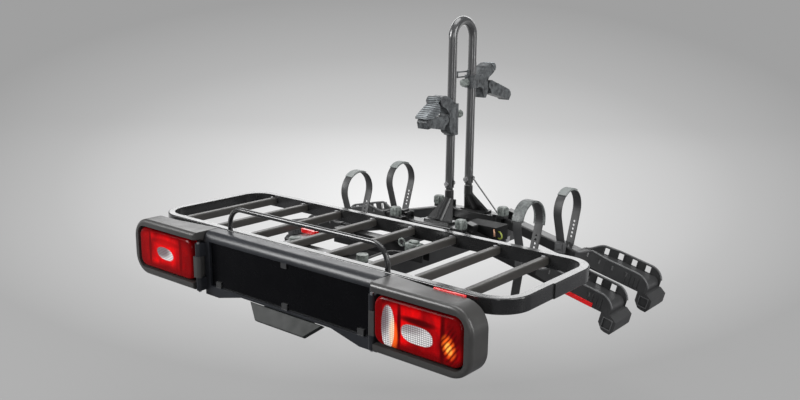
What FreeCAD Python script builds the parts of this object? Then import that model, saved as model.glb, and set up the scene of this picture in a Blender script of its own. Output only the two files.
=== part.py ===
import FreeCAD, Part
import math
import os
from FreeCAD import Placement, Rotation, Vector

# Hitch bike rack for two bicycles, standing on the tow ball of a car.
# Origin: centre of the tow ball. +X is the right side seen from behind the car,
# +Y points to the car, +Z is up. Sizes are millimetres.
# In the table, "ahead" is measured from the face of the number plate towards the car,
# and "above" is measured from the middle of the number plate upwards.

SIZES = [
    # whole rack
    ("reach", 900.0, "plate face to ball centre"),
    ("deck", 55.0, "plate middle above ball centre"),
    ("pin_gap", 0.05, "running clearance of pins in bores"),
    ("joint_gap", 0.5, "side clearance between hinged pieces"),
    # coupler on the ball
    ("ball_radius", 25.0, "tow ball"),
    ("house_half", 42.0, "coupler housing half width"),
    ("house_back", 32.0, "housing behind the ball centre"),
    ("house_front", 46.0, "housing in front of the ball centre"),
    ("house_top", 43.0, "housing top above the ball centre"),
    ("house_bottom", 6.0, "housing bottom below the ball centre"),
    ("house_round", 10.0, "edge rounding of the housing"),
    ("ear_thick", 13.0, "thickness of a tilt ear"),
    ("ear_round", 13.0, "radius of a tilt ear"),
    ("tilt_behind", 62.0, "tilt pin behind the ball centre"),
    ("tilt_up", 15.0, "tilt pin above the ball centre"),
    ("tilt_pin_radius", 7.0, "tilt pin"),
    ("lever_long", 82.0, "clamping lever"),
    ("lever_wide", 27.0, "clamping lever width"),
    ("lever_thick", 9.0, "clamping lever handle thickness"),
    ("lever_hub", 8.0, "clamping lever hub radius"),
    ("lever_up", 16.0, "lever pin above the housing"),
    ("lever_pin_radius", 4.0, "lever pin"),
    ("lever_lug", 6.0, "thickness of a lever lug"),
    # ladder frame
    ("member_gap", 80.0, "middle to a long member"),
    ("member_wide", 40.0, "long member width"),
    ("member_tall", 38.0, "long member height"),
    ("member_wall", 2.5, "wall of the long members"),
    ("member_top", 20.0, "long member top above"),
    ("member_end", 800.0, "long member front end ahead"),
    ("crossbar_half", 240.0, "rear crossbar half length"),
    ("crossbar_deep", 30.0, "rear crossbar depth"),
    ("crossbar_tall", 30.0, "rear crossbar height"),
    ("cheek_thick", 10.0, "tilt bracket cheek"),
    ("cheek_start", 700.0, "tilt bracket start ahead"),
    ("cheek_round", 14.0, "tilt bracket end radius"),
    ("web_thick", 12.0, "tilt bracket web"),
    # wheel rails
    ("rail_near", 565.0, "near rail ahead"),
    ("rail_pitch", 203.0, "near rail to far rail"),
    ("rail_wide", 40.0, "rail width"),
    ("rail_tall", 30.0, "rail height"),
    ("rail_wall", 2.0, "rail wall"),
    ("rail_half", 100.0, "rail half length"),
    ("tube_round", 4.0, "corner rounding of rails and arms"),
    # folding arms
    ("fold_out", 3.0, "fold axis outside the rail end"),
    ("fold_up", 8.0, "fold axis above the rail"),
    ("fold_radius", 7.6, "fold knuckle radius"),
    ("fold_pin_radius", 4.0, "fold pin"),
    ("fold_knuckle", 24.0, "fold knuckle width"),
    ("fold_ear", 4.0, "fold ear thickness"),
    ("fold_block_long", 22.0, "fold block length"),
    ("fold_block_tall", 14.0, "fold block above the axis"),
    ("droop", 13.5, "arm droop in degrees"),
    ("arm_long", 446.0, "arm length from the fold axis"),
    # wheel trays
    ("tray_start", 246.0, "tray start from the fold axis"),
    ("tray_over", 24.0, "tray end beyond the end of the arm"),
    ("tray_rise", 50.0, "ramp at the start of a tray"),
    ("tray_flare", 96.0, "length of the widening stretch"),
    ("tray_half_in", 25.0, "tray half width at the start"),
    ("tray_half_out", 46.0, "tray half width at the end"),
    ("tray_corner", 10.0, "tray end corner in plan"),
    ("tray_nose", 38.0, "tray end rounding seen from the side"),
    ("tray_above", 28.0, "tray rim above the arm"),
    ("tray_below", 16.0, "tray skirt below the arm top"),
    ("tray_wall", 3.5, "tray wall"),
    ("tray_floor", 5.0, "tray floor"),
    ("tray_drop", 16.0, "rounding where the tray floor drops at the end"),
    ("window_first", 305.0, "first window from the fold axis"),
    ("window_pitch", 40.0, "window pitch"),
    ("window_long", 15.0, "window length"),
    ("window_low", 5.5, "window bottom above the arm"),
    ("window_high", 24.0, "window top above the arm"),
    ("slot_long", 6.0, "slot length in the rear wall of a tray"),
    ("slot_back", 24.0, "slot before its window"),
    ("slot_low", 6.0, "slot bottom above the arm"),
    ("slot_high", 18.0, "slot top above the arm"),
    # feet under the trays
    ("foot_long", 42.0, "foot length"),
    ("foot_half", 44.0, "foot half width"),
    ("foot_deep", 62.0, "foot bottom below the arm top"),
    ("foot_cut", 12.0, "foot lower chamfer"),
    ("foot_brow", 26.0, "outer top edge of the foot below the arm top"),
    ("foot_recess", 3.0, "depth of the recess in each side of a foot"),
    ("foot_rim", 9.0, "rim round that recess"),
    # wheel straps
    ("strap_at", 200.0, "strap from the fold axis"),
    ("strap_wide", 24.0, "strap width"),
    ("strap_thick", 3.0, "strap thickness"),
    ("strap_loop", 56.0, "strap loop radius"),
    ("strap_top", 154.0, "strap top above the arm"),
    ("strap_hold", 22.0, "strap end below the arm top"),
    ("strap_knee", 12.0, "bend of the strap beside the arm"),
    ("strap_lean", 18.0, "lean of the strap legs in degrees"),
    ("buckle_long", 30.0, "buckle along the arm"),
    ("buckle_thick", 15.0, "buckle thickness"),
    ("buckle_tall", 34.0, "buckle height"),
    # mast
    ("mast_at", 672.0, "mast middle ahead"),
    ("mast_half", 46.5, "mast middle to a leg"),
    ("mast_radius", 12.5, "mast tube"),
    ("mast_wall", 2.0, "mast tube wall"),
    ("mast_top", 611.0, "mast top above"),
    ("mast_pivot", 152.0, "mast pivot above"),
    ("mast_tail", 12.0, "leg below the pivot"),
    ("mast_slot", 9.0, "slot in a leg end"),
    ("tongue_wide", 18.0, "foot tongue width"),
    ("tongue_thick", 8.0, "foot tongue thickness"),
    ("stub_top", 133.0, "foot stub top above"),
    ("stub_bend", 110.0, "foot stub bend above"),
    ("foot_splay", 88.0, "mast middle to a foot"),
    ("flare_half", 42.0, "foot flare half width"),
    ("flare_thick", 7.0, "foot flare thickness"),
    ("base_half_long", 46.0, "foot base half length"),
    ("base_half_wide", 18.0, "foot base half width"),
    ("base_thick", 6.0, "foot base thickness"),
    ("mast_bolt_radius", 4.0, "mast pivot bolt"),
    ("bolt_head_radius", 7.0, "mast pivot bolt head"),
    ("bolt_head", 5.0, "mast pivot bolt head height"),
    ("stay_radius", 2.0, "stay rod"),
    ("stay_out", 71.0, "stay rod foot from the middle"),
    # frame clamps
    ("low_clamp", 345.0, "near leg clamp above"),
    ("high_clamp", 429.0, "far leg clamp above"),
    ("collar_radius", 20.0, "clamp collar"),
    ("jaw_half", 17.0, "clamp jaw half width"),
    ("jaw_hub", 12.5, "hub of the swinging jaw"),
    ("jaw_lug", 12.0, "lug between the jaw's cheeks"),
    ("jaw_pin", 3.0, "pin of the swinging jaw"),
    ("low_hinge", 46.0, "near leg to its jaw pin"),
    ("high_hinge", 76.0, "far leg to its jaw pin"),
    ("hinge_up", -10.0, "jaw pin above the clamp middle"),
    ("low_arm", 84.0, "length of the near jaw"),
    ("high_arm", 112.0, "length of the far jaw"),
    ("low_slope", 0.0, "slope of the near jaw in degrees"),
    ("high_slope", 20.0, "slope of the far jaw in degrees"),
    ("arm_thick", 27.0, "thickness of a swinging jaw"),
    ("knob_radius", 11.0, "clamp knob"),
    ("knob_long", 20.0, "clamp knob length"),
    ("knob_stem", 4.0, "clamp knob stem radius"),
    ("bail_radius", 2.0, "wire bail"),
    ("bail_half", 7.0, "half height of the wire bail"),
    ("bail_long", 52.0, "wire bail length"),
    # cargo basket
    ("ring_half", 565.0, "basket ring half length"),
    ("ring_start", 47.0, "basket ring rear face ahead"),
    ("ring_deep", 367.0, "basket ring depth"),
    ("ring_top", 86.0, "basket ring top above"),
    ("ring_tall", 34.0, "basket ring height"),
    ("ring_wide", 18.0, "basket ring bar width"),
    ("ring_wall", 2.0, "basket ring wall"),
    ("ring_shift", 5.0, "basket ring middle right of the rack middle"),
    ("ring_corner", 79.0, "basket ring outer corner at the rear"),
    ("ring_corner_far", 68.0, "basket ring outer corner at the car"),
    ("ring_joint", 216.0, "joint of the two ring halves ahead"),
    ("ring_sleeve", 3.0, "far ring half outside the near half"),
    ("ring_edge", 3.0, "basket ring edge rounding"),
    ("slat_first", -472.0, "first slat from the middle"),
    ("slat_pitch", 130.9, "slat pitch"),
    ("slat_count", 8.0, "number of slats"),
    ("slat_wide", 18.0, "slat width"),
    ("slat_tall", 20.0, "slat height"),
    ("slat_drop", 7.0, "slat top below the ring top"),
    ("slat_wall", 1.5, "slat wall"),
    ("slat_edge", 4.0, "slat corner rounding"),
    ("screw_radius", 4.5, "slat screw head"),
    ("screw_head", 2.6, "slat screw head height"),
    ("screw_in", 9.0, "screw from the slat end"),
    ("saddle_half", 150.0, "saddle half length"),
    ("saddle_wide", 30.0, "saddle width"),
    ("saddle_wall", 3.0, "saddle wall"),
    ("saddle_rear", 138.0, "rear saddle ahead"),
    ("saddle_front", 330.0, "front saddle ahead"),
    ("hoop_half", 259.0, "guard hoop half length"),
    ("hoop_radius", 6.0, "guard hoop rod"),
    ("hoop_top", 147.0, "guard hoop top above"),
    ("hoop_bend", 44.0, "guard hoop bend radius"),
    ("grip_at", 112.0, "basket clamp from the middle"),
    ("grip_radius", 14.0, "basket clamp knob"),
    ("grip_tall", 16.0, "basket clamp knob height"),
    ("grip_bolt", 4.0, "basket clamp bolt radius"),
    ("hook_thick", 6.0, "basket clamp hook thickness"),
    ("catch_plate_left", -166.0, "catch plate left edge"),
    ("catch_plate_right", -100.0, "catch plate right edge"),
    ("catch_plate_long", 96.0, "catch plate length"),
    ("catch_plate_thick", 4.0, "catch plate thickness"),
    ("catch_long", 42.0, "red catch length"),
    ("catch_radius", 9.0, "red catch hub"),
    ("catch_tall", 11.0, "red catch height"),
    ("catch_pin", 3.0, "red catch pin radius"),
    # lighting board
    ("panel_half", 283.0, "centre panel half length"),
    ("panel_lip", 8.0, "panel rim in front of the plate"),
    ("panel_deep", 36.0, "panel depth behind the plate"),
    ("panel_top", 88.0, "panel top above"),
    ("panel_foot", 74.0, "panel bottom below"),
    ("panel_waist", 54.0, "panel bottom below at the pedal"),
    ("panel_notch", 150.0, "half length of the raised bottom"),
    ("panel_slope", 84.0, "run of the sloping bottom"),
    ("panel_brow", 20.0, "rounding along the top front edge"),
    ("panel_wall", 5.0, "panel wall"),
    ("plate_half", 262.0, "plate blank half length"),
    ("plate_half_tall", 55.0, "plate blank half height"),
    ("plate_mid", 8.5, "plate blank middle above"),
    ("plate_thick", 2.0, "plate blank thickness"),
    ("plate_fit", 1.5, "gap round the plate blank"),
    ("clip_half", 9.0, "plate clip half length"),
    ("clip_tall", 14.0, "plate clip height"),
    ("clip_thick", 3.5, "plate clip thickness"),
    ("light_in", 297.0, "light housing inner end"),
    ("light_out", 543.0, "light housing outer end"),
    ("light_top", 88.0, "light housing top above"),
    ("light_foot", 60.0, "light housing bottom below"),
    ("light_front", 36.0, "light housing front behind the plate"),
    ("light_back", 38.0, "light housing back ahead at its inner end"),
    ("light_slim", 19.0, "light housing back ahead at its outer end"),
    ("light_taper", 430.0, "end of the tapering back from the middle"),
    ("light_cap", 286.0, "inner end of the cap over the hinge"),
    ("light_cap_low", 66.0, "underside of that cap above"),
    ("light_corner", 52.0, "light housing outer corner"),
    ("light_edge", 9.0, "light housing front edge rounding"),
    ("light_wall", 6.0, "light housing back wall"),
    ("lens_in", 298.5, "lens inner end"),
    ("lens_out", 521.0, "lens outer end"),
    ("lens_top", 66.0, "lens top above"),
    ("lens_foot", 38.0, "lens bottom below"),
    ("lens_deep", 20.0, "lens depth"),
    ("lens_sink", 1.5, "lens face behind the housing front"),
    ("lens_corner", 24.0, "lens corner"),
    ("board_thick", 2.0, "lamp board"),
    ("lens_edge", 8.0, "lens edge rounding"),
    ("lens_gap", 4.0, "gap round the lens"),
    ("lens_wall", 4.0, "lens wall"),
    ("pin_across", 286.0, "light hinge pin from the middle"),
    ("pin_front", 24.0, "light hinge pin behind the plate"),
    ("light_pin_radius", 4.0, "light hinge pin"),
    ("knuckle_radius", 8.0, "light hinge knuckle"),
    ("knuckle_half", 27.0, "half height of the housing knuckle"),
    ("knuckle_end", 60.0, "end of the panel knuckles"),
    # pedal and release rod
    ("pedal_top_half", 121.0, "pedal half length at the top"),
    ("pedal_low_half", 80.0, "pedal half length at the bottom"),
    ("pedal_low", 88.0, "pedal bottom below"),
    ("pedal_front", 4.0, "pedal top behind the plate"),
    ("pedal_out", 22.0, "pedal bottom edge behind its top edge"),
    ("pedal_thick", 10.0, "pedal thickness"),
    ("pedal_hang", 2.5, "pedal top below the panel"),
    ("pedal_hub_half", 103.0, "pedal hub half length"),
    ("pedal_pin_ahead", 26.0, "pedal pin ahead"),
    ("pedal_pin_below", 52.0, "pedal pin below"),
    ("pedal_pin_radius", 4.0, "pedal pin"),
    ("pedal_hub", 7.0, "pedal hub radius"),
    ("pedal_lug", 7.0, "pedal lug thickness"),
    ("pedal_arm_half", 9.0, "pedal arm half width"),
    ("rod_below", 20.0, "release rod below the plate middle"),
    ("rod_radius", 4.0, "release rod"),
    ("rod_tip_gap", 1.0, "rod tip to the coupler"),
    # wiring box
    ("box_in", 84.0, "wiring box inner end"),
    ("box_long", 100.0, "wiring box length"),
    ("box_wide", 58.0, "wiring box width"),
    ("box_low", 21.0, "wiring box bottom above"),
    ("box_tall", 41.0, "wiring box height"),
    ("box_wall", 3.0, "wiring box wall"),
    ("box_gap", 3.0, "wiring box to the rail"),
]


class Size:
    """A size that keeps both its number and the sheet formula that it came from."""

    def __init__(self, text, number):
        self.text = text
        self.number = number

    def __float__(self):
        return self.number

    def __add__(self, other):
        other = size(other)
        return Size(f"({self.text} + {other.text})", self.number + other.number)

    def __sub__(self, other):
        other = size(other)
        return Size(f"({self.text} - {other.text})", self.number - other.number)

    def __mul__(self, other):
        other = size(other)
        return Size(f"({self.text} * {other.text})", self.number * other.number)

    def __truediv__(self, other):
        other = size(other)
        return Size(f"({self.text} / {other.text})", self.number / other.number)

    def __radd__(self, other):
        return size(other) + self

    def __rsub__(self, other):
        return size(other) - self

    def __rmul__(self, other):
        return size(other) * self

    def __neg__(self):
        return size(0) - self


def size(value):
    """Any plain number as a Size."""
    if isinstance(value, Size):
        return value
    return Size(f"({float(value)})", float(value))


class Sizes:
    """The driving sizes, read back from the sheet by name."""


doc = FreeCAD.newDocument("HitchBikeRack")
sheet = doc.addObject("Spreadsheet::Sheet", "Sizes")
for row, (alias, number, note) in enumerate(SIZES, start=1):
    sheet.set(f"A{row}", note)
    sheet.set(f"B{row}", str(number))
    sheet.setAlias(f"B{row}", alias)
doc.recompute()

S = Sizes()
for alias, number, note in SIZES:
    setattr(S, alias, Size(f"Sizes.{alias}", float(sheet.get(alias))))

nodes = []


def ahead(value):
    """Row Y of a place measured from the plate face towards the car."""
    return size(value) - S.reach


def above(value):
    """Row Z of a place measured up from the middle of the plate."""
    return size(value) + S.deck


# Building blocks


def bind(obj, prop, value):
    """Tie a property to the formula of a size."""
    obj.setExpression(prop, size(value).text)


def keep(obj, label):
    """Make an object a sub-part, under its own name."""
    obj.Label = label
    nodes.append(obj)
    return obj


def helper(kind, name):
    return doc.addObject(kind, name)


def box(x, y, z, name="box"):
    """Block between two corners, given as (low, high) along each axis."""
    obj = helper("Part::Box", name)
    for prop, span, axis in (("Length", x, "x"), ("Width", y, "y"), ("Height", z, "z")):
        bind(obj, prop, size(span[1]) - size(span[0]))
        bind(obj, f"Placement.Base.{axis}", span[0])
    return obj


def rod(axis, radius, span, at, name="rod"):
    """Round bar along X, Y or Z between span, at the two other coordinates in order."""
    obj = helper("Part::Cylinder", name)
    bind(obj, "Radius", radius)
    bind(obj, "Height", size(span[1]) - size(span[0]))
    if axis == "x":
        base = (span[0], at[0], at[1])
        turn = Rotation(Vector(0, 1, 0), 90)
    elif axis == "y":
        base = (at[0], span[0], at[1])
        turn = Rotation(Vector(1, 0, 0), -90)
    else:
        base = (at[0], at[1], span[0])
        turn = Rotation()
    obj.Placement = Placement(Vector(), turn)
    for letter, value in zip("xyz", base):
        bind(obj, f"Placement.Base.{letter}", value)
    return obj


def ball(radius, at, name="ball"):
    obj = helper("Part::Sphere", name)
    bind(obj, "Radius", radius)
    for letter, value in zip("xyz", at):
        bind(obj, f"Placement.Base.{letter}", value)
    return obj


def fuse(parts, name="fuse"):
    obj = helper("Part::MultiFuse", name)
    obj.Shapes = parts
    obj.Refine = True
    return obj


def cut(base, tool, name="cut"):
    obj = helper("Part::Cut", name)
    obj.Base = base
    obj.Tool = tool
    obj.Refine = True
    return obj


def group(parts, name="group"):
    """Separate solids of one sub-part."""
    obj = helper("Part::Compound", name)
    obj.Links = parts
    return obj


def feature(shape, name="feature", placement=None):
    """A sub-part or a blank whose shape is worked out here from the sheet's sizes."""
    obj = helper("Part::Feature", name)
    obj.Shape = shape
    if placement is not None:
        obj.Placement = placement.multiply(shape.Placement)
    return obj


def slab(points, axis, low, high):
    """Prism of a closed outline; points are the two other coordinates in order."""
    low, high = float(low), float(high)
    spots = []
    for a, b in points:
        a, b = float(a), float(b)
        if axis == "x":
            spots.append(Vector(low, a, b))
        elif axis == "y":
            spots.append(Vector(a, low, b))
        else:
            spots.append(Vector(a, b, low))
    face = Part.Face(Part.makePolygon(spots + [spots[0]]))
    step = {"x": Vector(high - low, 0, 0), "y": Vector(0, high - low, 0), "z": Vector(0, 0, high - low)}
    return face.extrude(step[axis])


def along(shape, axis):
    """Edges of a shape that are straight and run along an axis."""
    way = {"x": Vector(1, 0, 0), "y": Vector(0, 1, 0), "z": Vector(0, 0, 1)}[axis]
    found = []
    for edge in shape.Edges:
        if isinstance(edge.Curve, Part.Line) and abs(edge.tangentAt(edge.FirstParameter).dot(way)) > 0.999:
            found.append(edge)
    return found


def flat_edges(shape, axis, at):
    """Edges that lie wholly in a plane across an axis."""
    index = "xyz".index(axis)
    found = []
    for edge in shape.Edges:
        low = (edge.BoundBox.XMin, edge.BoundBox.YMin, edge.BoundBox.ZMin)[index]
        high = (edge.BoundBox.XMax, edge.BoundBox.YMax, edge.BoundBox.ZMax)[index]
        if abs(low - float(at)) < 1e-4 and abs(high - float(at)) < 1e-4:
            found.append(edge)
    return found


def block(x, y, z):
    """Plain block as a shape."""
    lows = [float(v[0]) for v in (x, y, z)]
    highs = [float(v[1]) for v in (x, y, z)]
    return Part.makeBox(highs[0] - lows[0], highs[1] - lows[1], highs[2] - lows[2], Vector(*lows))


def bar(start, end, radius):
    """Round bar between two points as a shape."""
    way = end - start
    return Part.makeCylinder(float(radius), way.Length, start, way)


def tube_section(x, y, z, wall, rounding, axis):
    """Square tube along an axis, open at its ends, with rounded corners."""
    outer = block(x, y, z)
    outer = outer.makeFillet(float(rounding), along(outer, axis))
    spans = []
    for letter, span in zip("xyz", (x, y, z)):
        low, high = float(span[0]), float(span[1])
        if letter != axis:
            low, high = low + float(wall), high - float(wall)
        spans.append((low, high))
    inner = block(*spans)
    inner = inner.makeFillet(float(rounding) - float(wall) / 2, along(inner, axis))
    return outer.cut(inner)


def ring_wire(centre, normal, radius):
    return Part.Wire(Part.Circle(centre, normal, float(radius)).toShape())


# Coupler, fixed to the tow ball


def coupler():
    back = -S.house_back
    hinge_y = -S.tilt_behind
    hinge_z = S.tilt_up
    ear_out = S.house_half + 7.5
    body = block((-S.house_half, S.house_half), (back, S.house_front), (-S.house_bottom, S.house_top))
    body = body.makeFillet(float(S.house_round), along(body, "z"))
    body = body.makeFillet(float(S.house_round) / 2, flat_edges(body, "z", S.house_top))
    for side in (-1, 1):
        inner = float(ear_out - S.ear_thick)
        span = sorted((side * float(ear_out), side * inner))
        ear = block(span, (hinge_y, back + S.house_round), (hinge_z - S.ear_round, hinge_z + S.ear_round))
        nose = Part.makeCylinder(float(S.ear_round), span[1] - span[0],
                                 Vector(span[0], float(hinge_y), float(hinge_z)), Vector(1, 0, 0))
        body = body.fuse(ear).fuse(nose)
        lug_in = float(S.lever_wide) / 2 + float(S.joint_gap)
        lug = sorted((side * lug_in, side * (lug_in + float(S.lever_lug))))
        top = float(S.house_top)
        pin_z = top + float(S.lever_up)
        body = body.fuse(block(lug, (-S.lever_hub, S.lever_hub), (top, pin_z)))
        body = body.fuse(Part.makeCylinder(float(S.lever_hub), lug[1] - lug[0],
                                           Vector(lug[0], 0, pin_z), Vector(1, 0, 0)))
    socket = Part.makeSphere(float(S.ball_radius)).fuse(
        Part.makeCylinder(float(S.ball_radius), float(S.house_bottom) + 5, Vector(0, 0, 0), Vector(0, 0, -1)))
    body = body.cut(socket)
    wide = float(ear_out) + 10
    body = body.cut(Part.makeCylinder(float(S.tilt_pin_radius + S.pin_gap), 2 * wide,
                                      Vector(-wide, float(hinge_y), float(hinge_z)), Vector(1, 0, 0)))
    body = body.cut(Part.makeCylinder(float(S.lever_pin_radius + S.pin_gap), 2 * wide,
                                      Vector(-wide, 0, float(S.house_top + S.lever_up)), Vector(1, 0, 0)))
    keep(feature(body.removeSplitter(), "Coupler"), "coupler_housing")

    pin_z = S.house_top + S.lever_up
    half = S.lever_wide / 2
    hub = rod("x", S.lever_hub, (-half, half), (0, pin_z))
    handle = box((-half, half), (-S.lever_long, 0), (pin_z - S.lever_thick / 2, pin_z + S.lever_thick / 2))
    grip = rod("x", S.lever_thick * 0.8, (-half, half), (-S.lever_long, pin_z))
    bore = rod("x", S.lever_pin_radius + S.pin_gap, (-half - 1, half + 1), (0, pin_z))
    keep(cut(fuse([hub, handle, grip]), bore), "coupler_lever")

    lug_out = half + S.joint_gap + S.lever_lug
    lever_pin = rod("x", S.lever_pin_radius, (-lug_out, lug_out), (0, pin_z))
    cheek_out = S.member_gap - S.member_wide / 2
    tilt_pin = rod("x", S.tilt_pin_radius, (-cheek_out - 3, cheek_out + 3), (hinge_y, hinge_z))
    head = rod("x", S.tilt_pin_radius + 4, (cheek_out, cheek_out + 6), (hinge_y, hinge_z))
    keep(group([lever_pin, fuse([tilt_pin, head])]), "coupler_pins")


# Ladder frame that carries everything and tilts about the coupler


def frame():
    low = above(S.member_top - S.member_tall)
    high = above(S.member_top)
    cross_start = ahead(S.panel_deep)
    member_start = cross_start + S.crossbar_deep
    pair = []
    for side in (-1, 1):
        centre = side * float(S.member_gap)
        x = (centre - float(S.member_wide) / 2, centre + float(S.member_wide) / 2)
        shape = tube_section(x, (member_start, ahead(S.member_end)), (low, high),
                             S.member_wall, S.tube_round, "y")
        pair.append(feature(shape, "Member"))
    keep(group(pair), "side_members")

    bar_high = above(S.member_top)
    bar_low = bar_high - S.crossbar_tall
    guide_low = above(-S.rod_below) - 9
    crossbar = box((-S.crossbar_half, S.crossbar_half), (cross_start, member_start), (bar_low, bar_high))
    guide = box((-12, 12), (cross_start + 9, cross_start + 21), (guide_low, bar_low))
    bore = rod("y", S.rod_radius + S.pin_gap, (cross_start - 5, member_start + 5), (0, above(-S.rod_below)))
    wall = S.member_wall
    hollow = box((-S.crossbar_half - 1, S.crossbar_half + 1), (cross_start + wall, member_start - wall),
                 (bar_low + wall, bar_high - wall))
    keep(cut(fuse([crossbar, guide]), fuse([bore, hollow])), "rear_crossbar")

    inner = float(S.member_gap - S.member_wide / 2)
    hinge = (-float(S.tilt_behind), float(S.tilt_up))
    radius = float(S.cheek_round)
    start = float(ahead(S.cheek_start))
    top = float(high)
    bottom = float(low)
    front = float(ahead(S.member_end))
    parts = []
    for side in (-1, 1):
        span = sorted((side * inner, side * (inner - float(S.cheek_thick))))
        outline = [(start, top - 4), (start, bottom + 4), (hinge[0] - 40, hinge[1] - radius),
                   (hinge[0], hinge[1] - radius), (hinge[0] + radius, hinge[1]), (hinge[0], hinge[1] + radius),
                   (front, top - 4)]
        parts.append(slab(outline, "x", span[0], span[1]))
        parts.append(Part.makeCylinder(radius, span[1] - span[0], Vector(span[0], *hinge), Vector(1, 0, 0)))
    web = block((-inner + 1, inner - 1), (front - 4, front - 4 + float(S.web_thick)),
                (float(above(-S.rod_below)) - 12, float(above(-S.rod_below)) + 12))
    shape = parts[0].fuse(parts[1:] + [web])
    shape = shape.cut(Part.makeCylinder(float(S.rod_radius + S.pin_gap), 100,
                                        Vector(0, front - 50, float(above(-S.rod_below))), Vector(0, 1, 0)))
    shape = shape.cut(Part.makeCylinder(float(S.tilt_pin_radius + S.pin_gap), 4 * inner,
                                        Vector(-2 * inner, *hinge), Vector(1, 0, 0)))
    keep(feature(shape.removeSplitter(), "TiltBracket"), "tilt_bracket")


def rail_middle(row):
    """Row Y of a rail's middle; row is near or far."""
    if row == "near":
        return ahead(S.rail_near)
    return ahead(S.rail_near + S.rail_pitch)


def rails():
    low = above(S.member_top)
    high = low + S.rail_tall
    axis_z = high + S.fold_up
    for row in ("near", "far"):
        middle = rail_middle(row)
        y = (middle - S.rail_wide / 2, middle + S.rail_wide / 2)
        shape = tube_section((-S.rail_half, S.rail_half), y, (low, high), S.rail_wall, S.tube_round, "x")
        for side in (-1, 1):
            axis_x = side * float(S.rail_half + S.fold_out)
            for edge in (-1, 1):
                near = edge * (float(S.fold_knuckle) / 2 + float(S.joint_gap))
                span = sorted((float(middle) + near, float(middle) + near + edge * float(S.fold_ear)))
                reach = sorted((axis_x, axis_x - side * 13.0))
                ear = block(reach, span, (high, axis_z + S.fold_radius))
                nose = Part.makeCylinder(float(S.fold_radius), span[1] - span[0],
                                         Vector(axis_x, span[0], float(axis_z)), Vector(0, 1, 0))
                shape = shape.fuse(ear).fuse(nose)
            shape = shape.cut(Part.makeCylinder(float(S.fold_pin_radius + S.pin_gap), 80,
                                                Vector(axis_x, float(middle) - 40, float(axis_z)),
                                                Vector(0, 1, 0)))
        keep(feature(shape, "Rail"), f"{row}_rail")

    half = S.fold_knuckle / 2 + S.joint_gap + S.fold_ear
    pins = []
    for row in ("near", "far"):
        middle = rail_middle(row)
        for side in (-1, 1):
            axis_x = side * (S.rail_half + S.fold_out)
            pins.append(rod("y", S.fold_pin_radius, (middle - half - 1, middle + half + 1), (axis_x, axis_z)))
    keep(group(pins), "fold_pins")


# Folding arms. Each is built along +X from its fold axis, then placed with its droop.


def arm_placement(row, side):
    """Place of an arm: side is -1 for left and 1 for right."""
    axis = Vector(side * float(S.rail_half + S.fold_out), float(rail_middle(row)),
                  float(above(S.member_top) + S.rail_tall + S.fold_up))
    turn = Rotation(Vector(0, 1, 0), float(S.droop))
    if side < 0:
        turn = Rotation(Vector(0, 0, 1), 180) * turn
    return Placement(axis, turn)


def arm_shape():
    top = -float(S.fold_up)
    half = float(S.rail_wide) / 2
    start = 1.0 + float(S.rail_tall) * math.sin(math.radians(float(S.droop)))
    tube = tube_section((start, S.arm_long), (-half, half), (top - float(S.rail_tall), top),
                        S.rail_wall, S.tube_round, "x")
    knuckle_half = float(S.fold_knuckle) / 2
    knuckle = Part.makeCylinder(float(S.fold_radius), 2 * knuckle_half, Vector(0, -knuckle_half, 0),
                                Vector(0, 1, 0))
    block_end = start + float(S.fold_block_long)
    lift = block((0, block_end), (-knuckle_half, knuckle_half), (top + 2, S.fold_block_tall))
    lift = lift.makeFillet(4, [e for e in along(lift, "y") if e.BoundBox.ZMin > top + 4])
    seat = block((start, block_end), (-knuckle_half, knuckle_half), (top - 0.5, top + 3))
    shape = tube.fuse([knuckle, lift, seat])
    bore = Part.makeCylinder(float(S.fold_pin_radius + S.pin_gap), 100, Vector(0, -50, 0), Vector(0, 1, 0))
    return shape.cut(bore)


def tray_plan(inset, start, end):
    """Outline of a tray seen from above, drawn in by inset, as a wire at height zero."""
    narrow = float(S.tray_half_in) - inset
    wide = float(S.tray_half_out) - inset
    flare = float(S.tray_start + S.tray_flare)
    corner = float(S.tray_corner) - inset
    bend = corner * (1 - math.sqrt(0.5))
    right = [Vector(start, -narrow, 0), Vector(flare, -wide, 0), Vector(end - corner, -wide, 0)]
    turn_low = Part.Arc(right[2], Vector(end - bend, -wide + bend, 0), Vector(end, -wide + corner, 0))
    turn_high = Part.Arc(Vector(end, wide - corner, 0), Vector(end - bend, wide - bend, 0),
                         Vector(end - corner, wide, 0))
    edges = [
        Part.LineSegment(right[0], right[1]).toShape(),
        Part.LineSegment(right[1], right[2]).toShape(),
        turn_low.toShape(),
        Part.LineSegment(Vector(end, -wide + corner, 0), Vector(end, wide - corner, 0)).toShape(),
        turn_high.toShape(),
        Part.LineSegment(Vector(end - corner, wide, 0), Vector(flare, wide, 0)).toShape(),
        Part.LineSegment(Vector(flare, wide, 0), Vector(start, narrow, 0)).toShape(),
        Part.LineSegment(Vector(start, narrow, 0), right[0]).toShape(),
    ]
    return Part.Wire(edges)


def tray_prism(inset, start, end, low, high):
    wire = tray_plan(inset, start, end)
    wire.translate(Vector(0, 0, low))
    return Part.Face(wire).extrude(Vector(0, 0, high - low))


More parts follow.
